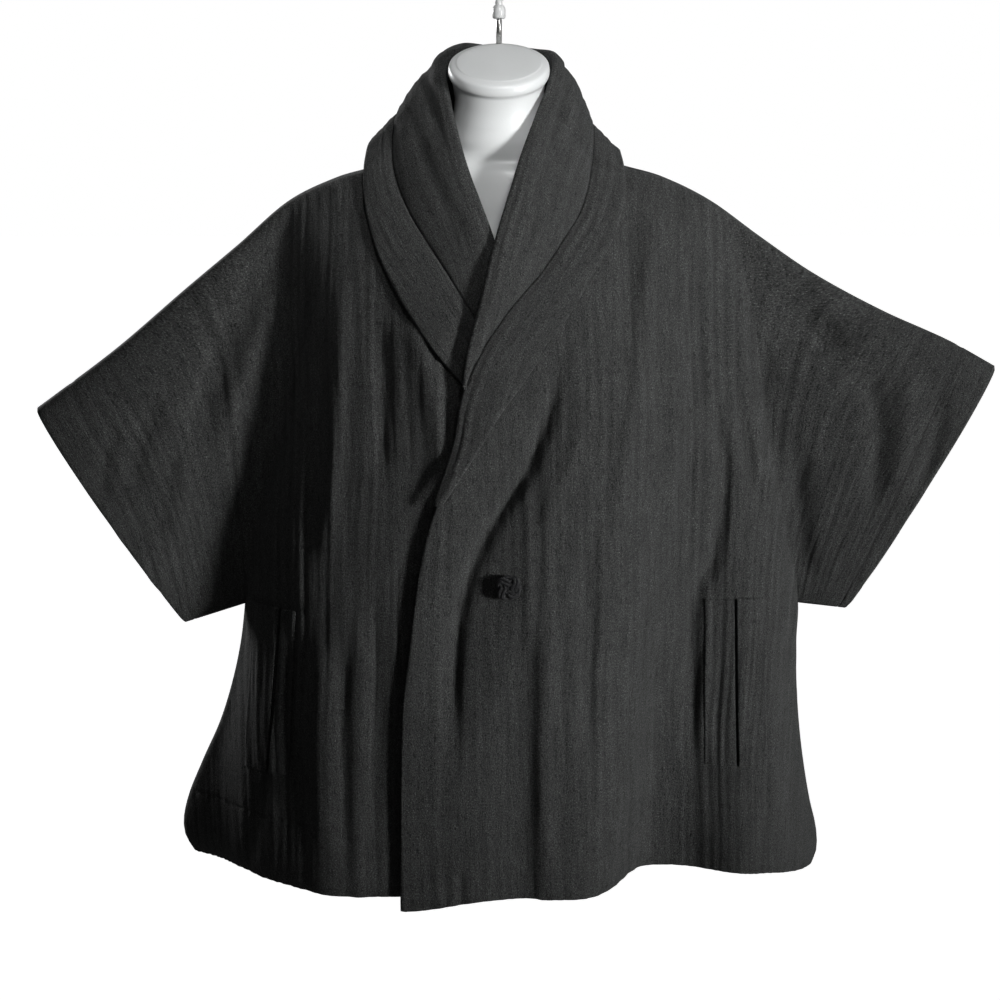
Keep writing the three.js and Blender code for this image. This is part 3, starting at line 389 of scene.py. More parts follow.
# Fine grid steps. Columns crowd towards the sides, and rows towards shoulder and underarm.
EASED_COLUMNS = 0.5
EVEN_ROWS = 0.6
FRONT_COLUMNS = dict(body=165, sleeve=70)
BACK_COLUMNS = dict(body=128, sleeve=66)
FRONT_ROWS = dict(upper=80, lower=34)
BACK_ROWS = dict(upper=70, lower=30)
HEM_ROWS = (-5, -2.5, -1.2, 0, 1.2, 2.5, 5)
BELOW_HEM_LINE = 7
COLLAR_STATIONS = 190
COLLAR_STEPS = 8
RUN_STEP = 0.1
BAND_STATIONS = 300
BAND_STEPS = 18
WELT_GRID = (70, 24)
FORM_SIDES = 112
FORM_RINGS = 230
DOME_RINGS = 13
DOME_TOP = 0.002
TURNED_SIDES = 48
HOOK_SIDES = 32
HOOK_TURN_STEPS = 9
HOOK_STEPS = 14
KNOT_STEPS = 420
CORE_GRID = (20, 40)
CORE_POLE = 0.02
CORD_SIDES = 12


def lerp(a, b, t):
    return a + (b - a) * t


def ease(v, start, end):
    t = np.clip((v - start) / (end - start), 0, 1)
    return t * t * (3 - 2 * t)


def bell(v, width):
    return np.exp(-((v / width) ** 2))


def unit(v):
    return v / np.maximum(np.linalg.norm(v, axis=-1, keepdims=True), 1e-9)


def dot(v, w):
    return np.sum(v * w, axis=-1, keepdims=True)


def lengths(points):
    """How far along a run of points each one is."""
    steps = np.linalg.norm(np.diff(points, axis=0), axis=-1)
    return np.concatenate([np.zeros((1,) + steps.shape[1:]), np.cumsum(steps, axis=0)])


def through(rows, at, key):
    """A smooth function through a table's rows."""
    order = np.argsort(rows[at])
    x = rows[at][order]
    y = rows[key][order]
    last = len(x) - 1
    before = np.maximum(np.arange(last + 1) - 1, 0)
    after = np.minimum(np.arange(last + 1) + 1, last)
    slope = (y[after] - y[before]) / (x[after] - x[before])

    def value(v):
        u = np.clip(v, x[0], x[last])
        i = np.clip(np.searchsorted(x, u, side="left") - 1, 0, last - 1)
        step = x[i + 1] - x[i]
        t = (u - x[i]) / step
        rise = y[i + 1] - y[i]
        bend_a = slope[i] * step - rise
        bend_b = rise - slope[i + 1] * step
        return lerp(y[i], y[i + 1], t) + t * (1 - t) * (bend_a * (1 - t) + bend_b * t)

    return value


SIDES = ("left", "right")
SIGN = {"left": 1, "right": -1}
shoulder_of = {side: through(SHOULDER, "out", side) for side in SIDES}
body_of = {side: through(BODY, "up", side) for side in SIDES}
front_edge = {side: through(FRONT_EDGE, "up", side) for side in SIDES}
centre_depth = {face: through(CENTRE, "up", face) for face in ("front", "back")}


def by_side(x, values):
    """The left's value where x is on the wearer's left, and the right's where it isn't."""
    return np.where(x < 0, values["right"], values["left"])


def underarm_up(side, out):
    s = SLEEVE[side]
    share = np.clip((out - s["pit_out"]) / (s["under_out"] - s["pit_out"]), 0, 1)
    return lerp(s["pit_up"], s["under_up"], share)


def shoulder_up(x):
    return by_side(x, {side: shoulder_of[side](np.abs(x)) for side in SIDES})


def body_depth(face, x, up):
    half = by_side(x, {side: body_of[side](up) for side in SIDES})
    across = np.minimum(np.abs(x) / half, 1)
    power, round_ = PLAN[face]
    plan = (1 - across**power) ** (1 / round_)
    below = np.clip((shoulder_up(x) - up) / ROLL[face], 0, 1)
    return centre_depth[face](up) * plan * np.sqrt(1 - (1 - below) ** 2)


def sleeve_depth(face, x, up):
    top = shoulder_up(x)
    foot = by_side(x, {side: underarm_up(side, np.abs(x)) for side in SIDES})
    q = np.clip((up - foot) / (top - foot), 0, 1)
    grows = ease(np.abs(x), SLEEVE_STARTS, SLEEVE_FULL)
    return SLEEVE_DEPTH[face] * grows * np.sqrt(4 * q * (1 - q))


def fold_depth(face, x, up):
    total = np.zeros(np.broadcast(x, up).shape)
    for f in each(FOLDS[face]):
        v = (f["top"] - up) / (f["top"] - f["foot"])
        inside = (v > 0) & (v < 1)
        v = np.clip(v, 0, 1)
        line = lerp(f["x_top"], f["x_foot"], v) + f["bow"] * 4 * v * (1 - v)
        width = np.where(x < line, f["inner"], f["outer"])
        dies = 1 - FOLD_DIES if f["foot"] > 0 else 1
        ends = ease(v, 0, FOLD_GROWS) * (1 - ease(v, dies, FOLD_GONE))
        depth = lerp(f["start"], f["end"], v ** f["grow"]) * ends
        total += np.where(inside, depth * bell(x - line, width), 0)
    return total


def crease_depth(face, x, up):
    total = np.zeros(np.broadcast(x, up).shape)
    for depth, inner, outer, line in CREASES[face]:
        rows = table("x up", *line)
        top = rows["up"].max()
        foot = rows["up"].min()
        at = through(rows, "up", "x")(up)
        v = (top - up) / (top - foot)
        ends = ease(v, 0, CREASE_FADES) * ease(1 - v, 0, CREASE_FADES)
        if foot < HEM_LINE[1]:
            ends = ease(v, 0, CREASE_FADES) * (1 - CREASE_SHALLOWS * ease(v, *SHALLOWS_OVER))
        width = np.where(x < at, inner, outer)
        total += CREASE_DEEPER * depth * ends * bell(x - at, width)
    return total


def pressed_depth(face, x, up, slits):
    """Pressed seam lines and, on the front, the seams over the pockets and their slits."""
    out = np.abs(x)
    total = PRESSED * bell(up - hem_line(out), PRESSED_WIDTH)
    if face == "back":
        return total
    for side in SIDES:
        seam_up, seam_out = POCKET_SEAM[side]
        share = ease(SIGN[side] * x, seam_out - POCKET_SEAM_GROWS, seam_out)
        total += POCKET_SEAM_DEPTH * share * bell(up - seam_up, POCKET_SEAM_WIDTH)
    if not slits:
        return total
    for side in SIDES:
        p = POCKETS[side]
        share = (p["up"][0] - up) / (p["up"][0] - p["up"][1])
        ends = ease(share, *SLIT_OPENS) * (1 - ease(share, *SLIT_CLOSES))
        slit = lerp(p["slit"][0], p["slit"][1], np.clip(share, 0, 1))
        total += SLIT_DEPTH * ends * bell(SIGN[side] * x - slit, SLIT_WIDTH)
    return total


def hem_line(out):
    return lerp(HEM_LINE[0], HEM_LINE[1], ease(out, *HEM_LINE_OUT))


def cloth_depth(face, x, up, fine):
    body = body_depth(face, x, up)
    sleeve = sleeve_depth(face, x, up)
    base = (body**BLEND + sleeve**BLEND) ** (1 / BLEND)
    fold = fold_depth(face, x, up)
    if fine:
        fold = fold + crease_depth(face, x, up)
    return base - fold * (1 - bell(base, FOLD_FADE + np.abs(fold)))


def lap_depth(x, up):
    return LAP * (1 - ease(x, *LAP_OUT)) * (1 - ease(up, *LAP_UP))


def seam_y(x):
    return -SLEEVE_FORWARD * np.maximum(np.abs(x) - SLEEVE_FULL, 0)


def cloth_point(face, side, x, up, fine=False):
    """The cloth's middle surface: points of a side's panel at x and up. The left front is upper."""
    depth = cloth_depth(face, x, up, fine)
    if face == "front" and side == "left":
        depth = depth + lap_depth(x, up)
    y = -depth - SEAM_GAP / 2 if face == "front" else depth + SEAM_GAP / 2
    x, up, y = np.broadcast_arrays(x, up, seam_y(x) + y)
    return np.stack([x, y, up], axis=-1).astype(float)


def hem_up(face, side, out):
    up = np.zeros(np.shape(out))
    if face == "front" and side == "left":
        up -= FRONT_CORNER_DROP * (1 - ease(out - front_edge["left"](0), 0, FRONT_CORNER_REACH))
    if side == "left":
        half = body_of["left"](0)
        up -= LEFT_SIDE_DROP * ease(out, half - SIDE_DROP_REACH, half)
    return up


def rib_table():
    """Smooth random ridges along one axis that change slowly along the other."""
    random = np.random.default_rng(RIB_SEED)
    raw = random.normal(size=RIB_TABLE)
    steady = random.normal(size=(1, RIB_TABLE[1]))
    reach = np.arange(-RIB_REACH, RIB_REACH + 1)
    narrow = RIB_PITCH / 5
    kernel = bell(reach, narrow) - 0.5 * bell(reach, 2 * narrow)
    rows = np.array([np.convolve(row, kernel, "same") for row in 0.6 * raw + 0.8 * steady])
    return rows / rows.std()


RIBS = rib_table()


def ribs(across, along):
    """Height of the crinkled wool's ribs, about -2 to 2."""
    i = np.mod(across + RIB_STARTS[1], RIB_TABLE[1] - 2)
    j = np.mod(along / RIB_CHANGES + RIB_STARTS[0], RIB_TABLE[0] - 2)
    a = i.astype(int)
    b = j.astype(int)
    s = i - a
    t = ease(j - b, 0, 1)
    low = lerp(RIBS[b, a], RIBS[b, a + 1], s)
    high = lerp(RIBS[b + 1, a], RIBS[b + 1, a + 1], s)
    return lerp(low, high, t)


def rib_across(x, up):
    """The coordinate across the ribs: level on the body, slanting with the cuff on the sleeves."""
    out = np.abs(x)
    wander = WANDER[0] * np.sin(up / WANDER[1]) + RIPPLE[0] * np.sin(up / RIPPLE[1] + x / RIPPLE[2])
    return x + wander - np.sign(x) * SLANT * ease(out, *SLANT_FROM) * (up - SLANT_UP)


class Cloth:
    """A sheet of points and quads with what each point carries. level marks points whose wall has
    no depth and middle those whose wall has no breadth, seam marks edges that meet another piece,
    turned says how much is a turned hem, rib is the wool's ribs and height what raises it."""

    CARRIED = dict(points=3, uv=2, level=0, middle=0, seam=0, turned=0, rib=0, height=0)

    def __init__(self):
        self.quads = []
        for key, width in self.CARRIED.items():
            setattr(self, key, np.zeros((0, width) if width else 0))

    def add(self, **values):
        """Adds a grid of points with what they carry, and gives their numbers."""
        shape = values["points"].shape[:2]
        count = shape[0] * shape[1]
        first = len(self.points)
        for key, width in self.CARRIED.items():
            new = np.reshape(values.get(key, np.zeros(count)), (count, width) if width else count)
            setattr(self, key, np.concatenate([getattr(self, key), new]))
        return np.arange(first, first + count).reshape(shape)

    def grid(self, index, turn):
        quads = np.stack([index[:-1, :-1], index[1:, :-1], index[1:, 1:], index[:-1, 1:]], axis=-1)
        self.quads.append(quads.reshape(-1, 4)[:, :: -1 if turn else 1])

    def faces(self):
        return np.concatenate(self.quads)

    def normals(self):
        q = self.faces()
        p = self.points
        cross = np.cross(p[q[:, 2]] - p[q[:, 0]], p[q[:, 3]] - p[q[:, 1]])
        total = np.zeros_like(p)
        for k in range(4):
            np.add.at(total, q[:, k], cross)
        total[self.level > 0, 1] = 0
        total[self.middle > 0, 0] = 0
        return unit(total)

    def wall(self, thickness):
        """The closed wall round the sheet: its points, faces and uv, with a rounded free edge."""
        q = self.faces()
        n = self.normals()
        count = len(self.points)
        outer = self.points + n * thickness / 2
        inner = self.points - n * (thickness / 2 + TURNED * self.turned)[:, None]
        rim, loop = boundary(q, count)
        a = self.points[loop[:, 0]]
        b = self.points[loop[:, 1]]
        away = np.zeros_like(self.points)
        push = np.cross(b - a, n[loop[:, 0]])
        np.add.at(away, loop[:, 0], push)
        np.add.at(away, loop[:, 1], push)
        bulge = np.where(self.seam[rim] > 0, 0, EDGE_ROUND * (thickness + self.turned[rim]))
        middle = (outer[rim] + inner[rim]) / 2 + unit(away[rim]) * bulge[:, None]
        number = np.full(count, -1)
        number[rim] = np.arange(len(rim)) + 2 * count
        points = np.concatenate([outer, inner, middle])
        a, b = loop.T
        upper = np.stack([b, a, number[a], number[b]], axis=1)
        under = np.stack([number[b], number[a], a + count, b + count], axis=1)
        faces = np.concatenate([q, q[:, ::-1] + count, upper, under])
        source = np.concatenate([np.arange(count), np.arange(count), rim])
        return points, faces, source


def boundary(quads, count):
    """The points of the edges that only one quad has, and those edges in its direction."""
    a = quads.reshape(-1)
    b = np.roll(quads, -1, axis=1).reshape(-1)
    forward = a.astype(np.int64) * count + b
    back = b.astype(np.int64) * count + a
    alone = ~np.isin(forward, back)
    loop = np.stack([a[alone], b[alone]], axis=1)
    return np.unique(loop), loop


def piece(name, node, points, faces, material, uv=None, rib=None):
    """A smooth-shaded mesh from points in the coat's frame. It rides on the part's one body, and
    stands for the node where there is one."""
    mesh = bpy.data.meshes.new(name)
    points = (np.reshape(points, (-1, 3)) + (0, -SHOULDER_BEFORE_HOOK, -HEM_BELOW_HOOK)) * MM
    mesh.from_pydata(points.tolist(), [], [list(map(int, f)) for f in faces])
    if uv is not None:
        layer = mesh.uv_layers.new(name="cloth")
        vertex = np.zeros(len(mesh.loops), np.int32)
        mesh.loops.foreach_get("vertex_index", vertex)
        layer.data.foreach_set("uv", (uv[vertex] * MM).astype(np.float32).reshape(-1))
    # The rib attribute also paints shade on the wool: darker in the ribs' valleys, lighter on their
    # crests.
    if rib is not None:
        attribute = mesh.attributes.new("rib", "FLOAT", "POINT")
        attribute.data.foreach_set("value", rib.astype(np.float32))
    mesh.polygons.foreach_set("use_smooth", np.ones(len(mesh.polygons), bool))
    mesh.materials.append(material)
    mesh.update()
    obj = bpy.data.objects.new(name, mesh)
    bpy.context.collection.objects.link(obj)
    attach(obj, "root")
    if node:
        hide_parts(node)
    return obj


def ring_faces(index, turn=False, capped=False):
    """Faces between rings of points, which follow each other on the last axis but one."""
    after = np.roll(index, -1, axis=-1)
    corners = [index[..., :-1, :], index[..., 1:, :], after[..., 1:, :], after[..., :-1, :]]
    quads = np.stack([corners[i] for i in ((0, 3, 2, 1) if turn else (0, 1, 2, 3))], axis=-1)
    faces = quads.reshape(-1, 4).tolist()
    if capped:
        way = -1 if turn else 1
        faces += [index[0, ::way].tolist(), index[-1, ::-way].tolist()]
    return faces


# Materials


class Nodes:
    """A material's node tree, with short ways to add a node and join it."""

    def __init__(self, name):
        self.material = bpy.data.materials.new(name)
        self.material.use_nodes = True
        self.tree = self.material.node_tree
        self.shader = self.tree.nodes["Principled BSDF"]

    def add(self, kind, inputs=(), **settings):
        node = self.tree.nodes.new(kind)
        for key, value in settings.items():
            setattr(node, key, value)
        for key, value in dict(inputs).items():
            self.join(value, node.inputs[key])
        return node

    def join(self, value, socket):
        if isinstance(value, bpy.types.NodeSocket):
            self.tree.links.new(value, socket)
        else:
            socket.default_value = value

    def place(self):
        return self.add("ShaderNodeTexCoord").outputs["Object"]

    def cloth(self):
        return self.add("ShaderNodeUVMap", uv_map="cloth").outputs[0]

    def maths(self, operation, a, b):
        return self.add("ShaderNodeMath", {0: a, 1: b}, operation=operation).outputs[0]

    def stretched(self, source, scale):
        return self.add("ShaderNodeMapping", {"Vector": source, "Scale": scale}).outputs[0]

    def noise(self, vector, scale, detail, rough=0.5):
        vector = self.stretched(vector, scale)
        inputs = {"Vector": vector, "Scale": 1.0, "Detail": detail, "Roughness": rough}
        return self.add("ShaderNodeTexNoise", inputs).outputs[0]

    def between(self, value, low, high, start=0.0, end=1.0):
        inputs = {"Value": value, 1: low, 2: high, 3: start, 4: end}
        return self.add("ShaderNodeMapRange", inputs, clamp=True).outputs[0]

    def mix(self, factor, a, b, **settings):
        node = self.add("ShaderNodeMix", {0: factor}, data_type="RGBA", **settings)
        self.join(a, node.inputs[6])
        self.join(b, node.inputs[7])
        return node.outputs[2]

    def bump(self, height, distance, strength=1.0):
        inputs = {"Height": height, "Distance": distance, "Strength": strength}
        self.join(self.add("ShaderNodeBump", inputs).outputs[0], self.shader.inputs["Normal"])

    def finish(self, **inputs):
        """Sets the shader's inputs, where a name's underscores stand for spaces."""
        for key, value in inputs.items():
            self.join(value, self.shader.inputs[key.replace("_", " ")])
        return self.material


def wool():
    """Charcoal wool: pale and dark fibres, fine lines along the ribs, a short brushed nap, painted
    rib shade.
    """
    n = Nodes("charcoal_wool")
    uv = n.cloth()
    rib = n.add("ShaderNodeAttribute", attribute_name="rib").outputs["Fac"]
    grain = n.noise(uv, (880, 620, 1), 3, 0.8)
    flecks = n.noise(uv, (1050, 640, 1), 2, 0.7)
    pits = n.noise(uv, (430, 120, 1), 3, 0.7)
    lines = n.noise(uv, (260, 22, 1), 3, 0.6)
    cloudy = n.noise(uv, (46, 26, 1), 3, 0.6)
    body = n.mix(n.between(grain, 0.36, 0.64), (0.013, 0.0135, 0.013, 1), (0.070, 0.072, 0.071, 1))
    body = n.mix(n.between(flecks, 0.58, 0.70, 0.0, 0.75), body, (0.18, 0.184, 0.18, 1))
    # Painted shade and light: the ribs' height darkens the colour in their valleys and lightens it
    # on their crests.
    painted_rib_shade_and_tone = n.between(rib, -1.8, 1.8, 0.86, 1.12)
    painted_rib_shade_and_tone = n.maths("MULTIPLY", painted_rib_shade_and_tone, n.between(lines, 0.3, 0.7, 0.82, 1.16))
    painted_rib_shade_and_tone = n.maths("MULTIPLY", painted_rib_shade_and_tone, n.between(cloudy, 0.3, 0.7, 0.86, 1.14))
    painted_rib_shade_and_tone = n.maths("MULTIPLY", painted_rib_shade_and_tone, n.between(pits, 0.30, 0.50, 0.42, 1.0))
    grey = n.add("ShaderNodeCombineColor", {0: painted_rib_shade_and_tone, 1: painted_rib_shade_and_tone, 2: painted_rib_shade_and_tone}).outputs[0]
    coloured = n.mix(1.0, body, grey, blend_type="MULTIPLY")
    height = n.maths("ADD", n.maths("MULTIPLY", grain, 0.8), n.maths("MULTIPLY", flecks, 0.5))
    height = n.maths("ADD", height, n.maths("MULTIPLY", n.between(pits, 0.30, 0.50), 0.7))
    n.bump(height, 0.0010, 0.8)
    return n.finish(
        Base_Color=coloured, Roughness=n.between(flecks, 0.3, 0.7, 0.95, 0.82),
        Specular_IOR_Level=0.25, Sheen_Weight=0.08, Sheen_Roughness=0.5,
        Sheen_Tint=(0.75, 0.77, 0.78, 1),
    )


def thread():
    n = Nodes("dark_thread")
    twist = n.noise(n.place(), (3000, 3000, 3000), 1)
    n.bump(twist, 0.0002)
    tone = n.mix(twist, (0.012, 0.012, 0.013, 1), (0.05, 0.05, 0.052, 1))
    return n.finish(Base_Color=tone, Roughness=0.75)


def cord():
    """Black cord: fine twisted yarn with a slight sheen."""
    n = Nodes("black_cord")
    uv = n.cloth()
    inputs = {"Vector": n.stretched(uv, (260, 520, 1)), "Scale": 1.0, "Distortion": 1.5}
    twist = n.add("ShaderNodeTexWave", inputs, bands_direction="DIAGONAL").outputs[1]
    fibre = n.noise(uv, (3000, 900, 1), 2)
    tone = n.maths("MULTIPLY", twist, n.between(fibre, 0.3, 0.7, 0.6, 1.2))
    n.bump(tone, 0.0005)
    colour = n.mix(tone, (0.003, 0.003, 0.0035, 1), (0.022, 0.023, 0.026, 1))
    rough = n.between(fibre, 0.3, 0.7, 0.45, 0.62)
    return n.finish(Base_Color=colour, Roughness=rough, Sheen_Weight=0.05)


def plastic(name, low, high, rough):
    """Moulded plastic with a faint uneven gloss."""
    n = Nodes(name)
    place = n.place()
    wide = n.noise(place, (9, 9, 9), 3)
    fine = n.noise(place, (700, 700, 700), 2)
    n.bump(n.maths("ADD", n.maths("MULTIPLY", wide, 6.0), fine), 0.00012, 0.6)
    tone = n.mix(n.between(wide, 0.3, 0.7), low, high)
    rough = n.between(wide, 0.3, 0.7, rough - 0.05, rough + 0.07)
    return n.finish(Base_Color=tone, Roughness=rough, Coat_Weight=0.25, Coat_Roughness=0.12)


def metal():
    """Satin steel with fine turned lines."""
    n = Nodes("satin_steel")
    lines = n.noise(n.place(), (60, 60, 2600), 2)
    n.bump(lines, 0.00008)
    tone = n.mix(lines, (0.42, 0.42, 0.41, 1), (0.66, 0.66, 0.65, 1))
    return n.finish(Base_Color=tone, Roughness=n.between(lines, 0.3, 0.7, 0.24, 0.38), Metallic=1.0)


def floor_finish():
    n = Nodes("pale_floor")
    tone = n.mix(n.noise(n.place(), (3, 3, 3), 2), (0.56, 0.56, 0.56, 1), (0.6, 0.6, 0.6, 1))
    seen = n.add("ShaderNodeLightPath").outputs["Is Camera Ray"]
    glow = n.between(seen, 0, 1, *FLOOR_GLOW)
    white = (1, 1, 1, 1)
    return n.finish(Base_Color=tone, Roughness=0.9, Emission_Color=white, Emission_Strength=glow)


WOOL = wool()
THREAD = thread()
CORD = cord()
FORM_WHITE = plastic("form_white", (0.86, 0.88, 0.88, 1), (0.91, 0.93, 0.93, 1), 0.36)
HOOK_WHITE = plastic("hook_white", (0.74, 0.75, 0.75, 1), (0.80, 0.81, 0.81, 1), 0.28)
STEEL = metal()


# Panels


def half_panel(cloth, face, side, edge, columns, rows, centre=None):
    """Half a face of the coat, from its centre edge to the cuff and from shoulder to hem."""
    sign = SIGN[side]
    s = SLEEVE[side]
    turn = (face == "front") != (side == "left")
    over_pit = SHOULDER_OVER_PIT[side]
    body = columns["body"]
    c = np.arange(body + 1) / body
    a = lerp(c, np.sin(np.pi / 2 * c), EASED_COLUMNS)
    t = (1 - np.cos(np.pi * np.arange(rows["upper"] + 1) / rows["upper"])) / 2
    t = lerp(t, np.linspace(0, 1, rows["upper"] + 1), EVEN_ROWS)[:, None]
    neck_out = edge(NECK_UP)
    pit_edge = edge(s["pit_up"])
    top_out = lerp(neck_out, over_pit, a)
    top_up = shoulder_of[side](top_out)
    if neck_out < NECK_OUT:
        top_up = np.where(top_out < NECK_OUT, NECK_UP, top_up)
    up = lerp(top_up, s["pit_up"], t)
    pull = edge(lerp(NECK_UP, s["pit_up"], t)) - lerp(neck_out, pit_edge, t)
    out = lerp(top_out, lerp(pit_edge, s["pit_out"], a), t) + pull * (1 - a) ** 2
    b = np.arange(1, columns["sleeve"] + 1) / columns["sleeve"]
    sleeve_top = lerp(over_pit, s["cuff_out"], b)
    sleeve_foot = lerp(s["pit_out"], s["under_out"], b)
    sleeve_out = lerp(sleeve_top, sleeve_foot, t)
    sleeve_up = lerp(shoulder_of[side](sleeve_top), underarm_up(side, sleeve_foot), t)
    out = np.concatenate([out, sleeve_out], axis=1)
    up = np.concatenate([up, sleeve_up], axis=1)
    points = cloth_point(face, side, sign * out, up, fine=True)
    on_sleeve = np.arange(out.shape[1]) > body
    for r in (0, -1):
        y = seam_y(out[r]) + (-SEAM_GAP / 2 if face == "front" else SEAM_GAP / 2)
        points[r, on_sleeve, 1] = y[on_sleeve]
    level = np.zeros(out.shape, bool)
    level[0] = on_sleeve | (np.concatenate([top_out, sleeve_top]) >= NECK_OUT - 1e-6)
    level[-1] = on_sleeve
    level[-1, body] = True
    from_cuff = (s["cuff_out"] - over_pit) * (1 - b) * CUFF_SLANT
    turned = np.zeros(out.shape)
    turned[:, body + 1:] = 1 - ease(from_cuff, CUFF_LINE - CUFF_STEP, CUFF_LINE)
    pressed = np.zeros(out.shape)
    pressed[:, body + 1:] = PRESSED * bell(from_cuff - CUFF_LINE, PRESSED_WIDTH)
    upper = relieve(cloth, face, points, sign * out, up, level, turned, pressed)
    lower_rows = np.linspace(0, 1, rows["lower"] + 1)[1:]
    near = lerp(edge(0), body_of[side](0), a)
    line = hem_line(np.abs(near))
    foot = hem_up(face, side, near)
    high = [lerp(s["pit_up"], line - HEM_ROWS[0], v) for v in lower_rows]
    across = [line - d for d in HEM_ROWS[1:]]
    shares = [(i + 1) / BELOW_HEM_LINE for i in range(BELOW_HEM_LINE)]
    below = [lerp(line - HEM_ROWS[-1], foot, v) for v in shares]
    up = np.stack(high + across + below)
    out = lerp(edge(up), body_of[side](up), a)
    points = cloth_point(face, side, sign * out, up, fine=True)
    level = np.zeros(out.shape, bool)
    level[:, -1] = True
    turned = 1 - ease(up, line - HEM_STEP, line)
    lower = relieve(cloth, face, points, sign * out, up, level, turned)
    lower = np.concatenate([upper[-1:, : body + 1], lower])
    if centre is not None:
        upper[:, 0] = centre[0]
        lower[:, 0] = centre[1]
    cloth.grid(upper, turn)
    cloth.grid(lower, turn)
    return upper[:, 0], lower[:, 0]


def relieve(cloth, face, points, x, up, level, turned, pressed=0):
    """Adds the grid with its ribs and pressed lines as a height for each point."""
    across = rib_across(x, up)
    fade = flattens(face, x, up)
    rib = ribs(across, up) * fade
    height = RIB_HEIGHT * rib - pressed - pressed_depth(face, x, up, True) * fade
    marks = dict(level=level, seam=level, turned=turned)
    uv = np.stack([across, up], axis=-1)
    return cloth.add(points=points, uv=uv, rib=rib, height=height, **marks)


def flattens(face, x, up):
    """How much of the ribs is left where front and back run together."""
    return 1 - bell(cloth_depth(face, x, up, False), RIB_FADES)


def panel(node, cloth, thickness):
    """The finished wall of a sheet, as the piece that stands for a solid."""
    keep = np.unique(cloth.faces())
    number = np.full(len(cloth.points), -1)
    number[keep] = np.arange(len(keep))
    cloth.quads = [number[cloth.faces()]]
    for key in cloth.CARRIED:
        setattr(cloth, key, getattr(cloth, key)[keep])
    cloth.points = cloth.points + cloth.normals() * cloth.height[:, None]
    points, faces, source = cloth.wall(thickness)
    uv, rib = cloth.uv[source], cloth.rib[source]
    return piece("coat_" + node, node, points, faces, WOOL, uv, rib)


def front(side):
    cloth = Cloth()
    half_panel(cloth, "front", side, front_edge[side], FRONT_COLUMNS, FRONT_ROWS)
    return panel("front_" + side, cloth, CLOTH)


def back():
    cloth = Cloth()

    def middle(up):
        return np.zeros(np.shape(up))

    centre = half_panel(cloth, "back", "left", middle, BACK_COLUMNS, BACK_ROWS)
    half_panel(cloth, "back", "right", middle, BACK_COLUMNS, BACK_ROWS, centre)
    return panel("back", cloth, CLOTH)


FRONTS = {side: front(side) for side in SIDES}
BACK = back()


# Collar


def run_through(values, k, odd=False):
    """A smooth run through a column's rows; the row before the first is the other side's."""
    last = len(values) - 1
    i = np.clip(np.floor(k).astype(int), 0, last - 1)
    t = k - i

    def at(j):
        value = values[np.minimum(np.abs(j), last)]
        return np.where(j < 0, -value, value) if odd else value

    a, b, c, d = at(i - 1), at(i), at(i + 1), at(i + 2)
    return b + 0.5 * t * (c - a + t * (2 * a - 5 * b + 4 * c - d + t * (3 * (b - c) + d - a)))


def neck_point(side, k):
    """Where the collar leaves the neck edge of the panels at stations k."""
    sign = SIGN[side]
    up = run_through(COLLAR[side]["neck_up"], k)
    out = run_through(NECK_SEAM_OUT, np.minimum(k, 2), odd=True)
    behind = cloth_point("back", side, sign * out, np.full(k.shape, float(NECK_UP)))
    before = cloth_point("front", side, sign * front_edge[side](up), up)
    return lerp(behind, before, ease(k, 2, 3)[:, None])


def clear_of_front(side, k, p):
    """Holds points of the collar's fall clear of the front panel under them."""
    coarse = cloth_point("front", side, p[:, 0], p[:, 2])[:, 1]
    if side == "right":
        fine = cloth_point("front", side, p[:, 0], p[:, 2], fine=True)[:, 1]
        coarse = lerp(coarse, fine, ease(k, *TUCKED_ON_FINE))
    rest = coarse - lerp(*COLLAR_STANDS_OFF, ease(k, *TAIL_LIES))
    p[:, 1] = lerp(p[:, 1], np.minimum(p[:, 1], rest), ease(k, *FRONT_SECTIONS))
    return p


def collar_section(side, k):
    """Points of the collar at stations k: neck edge, roll line, band seam and outer edge."""
    rows = COLLAR[side]

    def point(key):
        out = run_through(rows[key + "_out"], k, odd=True)
        y = run_through(rows[key + "_y"], k)
        up = run_through(rows[key + "_up"], k)
        return clear_of_front(side, k, np.stack([SIGN[side] * out, y, up], axis=-1))

    return neck_point(side, k), point("roll"), point("seam"), point("edge")


def curved(points, steps):
    """Points along a centripetal curve through each row's points, so many steps to a stretch."""
    first = 2 * points[:, :1] - points[:, 1:2]
    last = 2 * points[:, -1:] - points[:, -2:-1]
    p = np.concatenate([first, points, last], axis=1)
    gap = np.maximum(np.linalg.norm(np.diff(p, axis=1), axis=2, keepdims=True), 1e-4) ** 0.5
    out = []
    for i in range(1, p.shape[1] - 2):
        a, b, c, d = (p[:, i + j] for j in (-1, 0, 1, 2))
        before, here, after = (gap[:, i + j] for j in (-1, 0, 1))
        leaves = ((b - a) / before - (c - a) / (before + here) + (c - b) / here) * here
        arrives = ((c - b) / here - (d - b) / (here + after) + (d - c) / after) * here
        for t in np.arange(steps) / steps:
            start = (2 * t**3 - 3 * t**2 + 1) * b + (t**3 - 2 * t**2 + t) * leaves
            out.append(start + (3 * t**2 - 2 * t**3) * c + (t**3 - t**2) * arrives)
    return np.stack(out + [points[:, -1]], axis=1)


def collar_strip(node, side, points, across, along, height, marks):
    """A ribbed piece of the collar on a grid of points, each so far across and along."""
    cloth = Cloth()
    rib = ribs(across + RIB_OFFSET[side], along)
    uv = np.stack([across, along], axis=-1)
    index = cloth.add(points=points, uv=uv, rib=rib, height=RIB_HEIGHT * rib + height, **marks)
    cloth.grid(index, side == "right")
    return panel(node, cloth, COLLAR_CLOTH)


def end_marks(shape, seam_column, seam_rows):
    """Marks of the centre back and of the seam between collar and band."""
    middle = np.zeros(shape, bool)
    middle[0] = True
    seam = middle.copy()
    seam[seam_rows, seam_column] = True
    return dict(middle=middle, seam=seam)


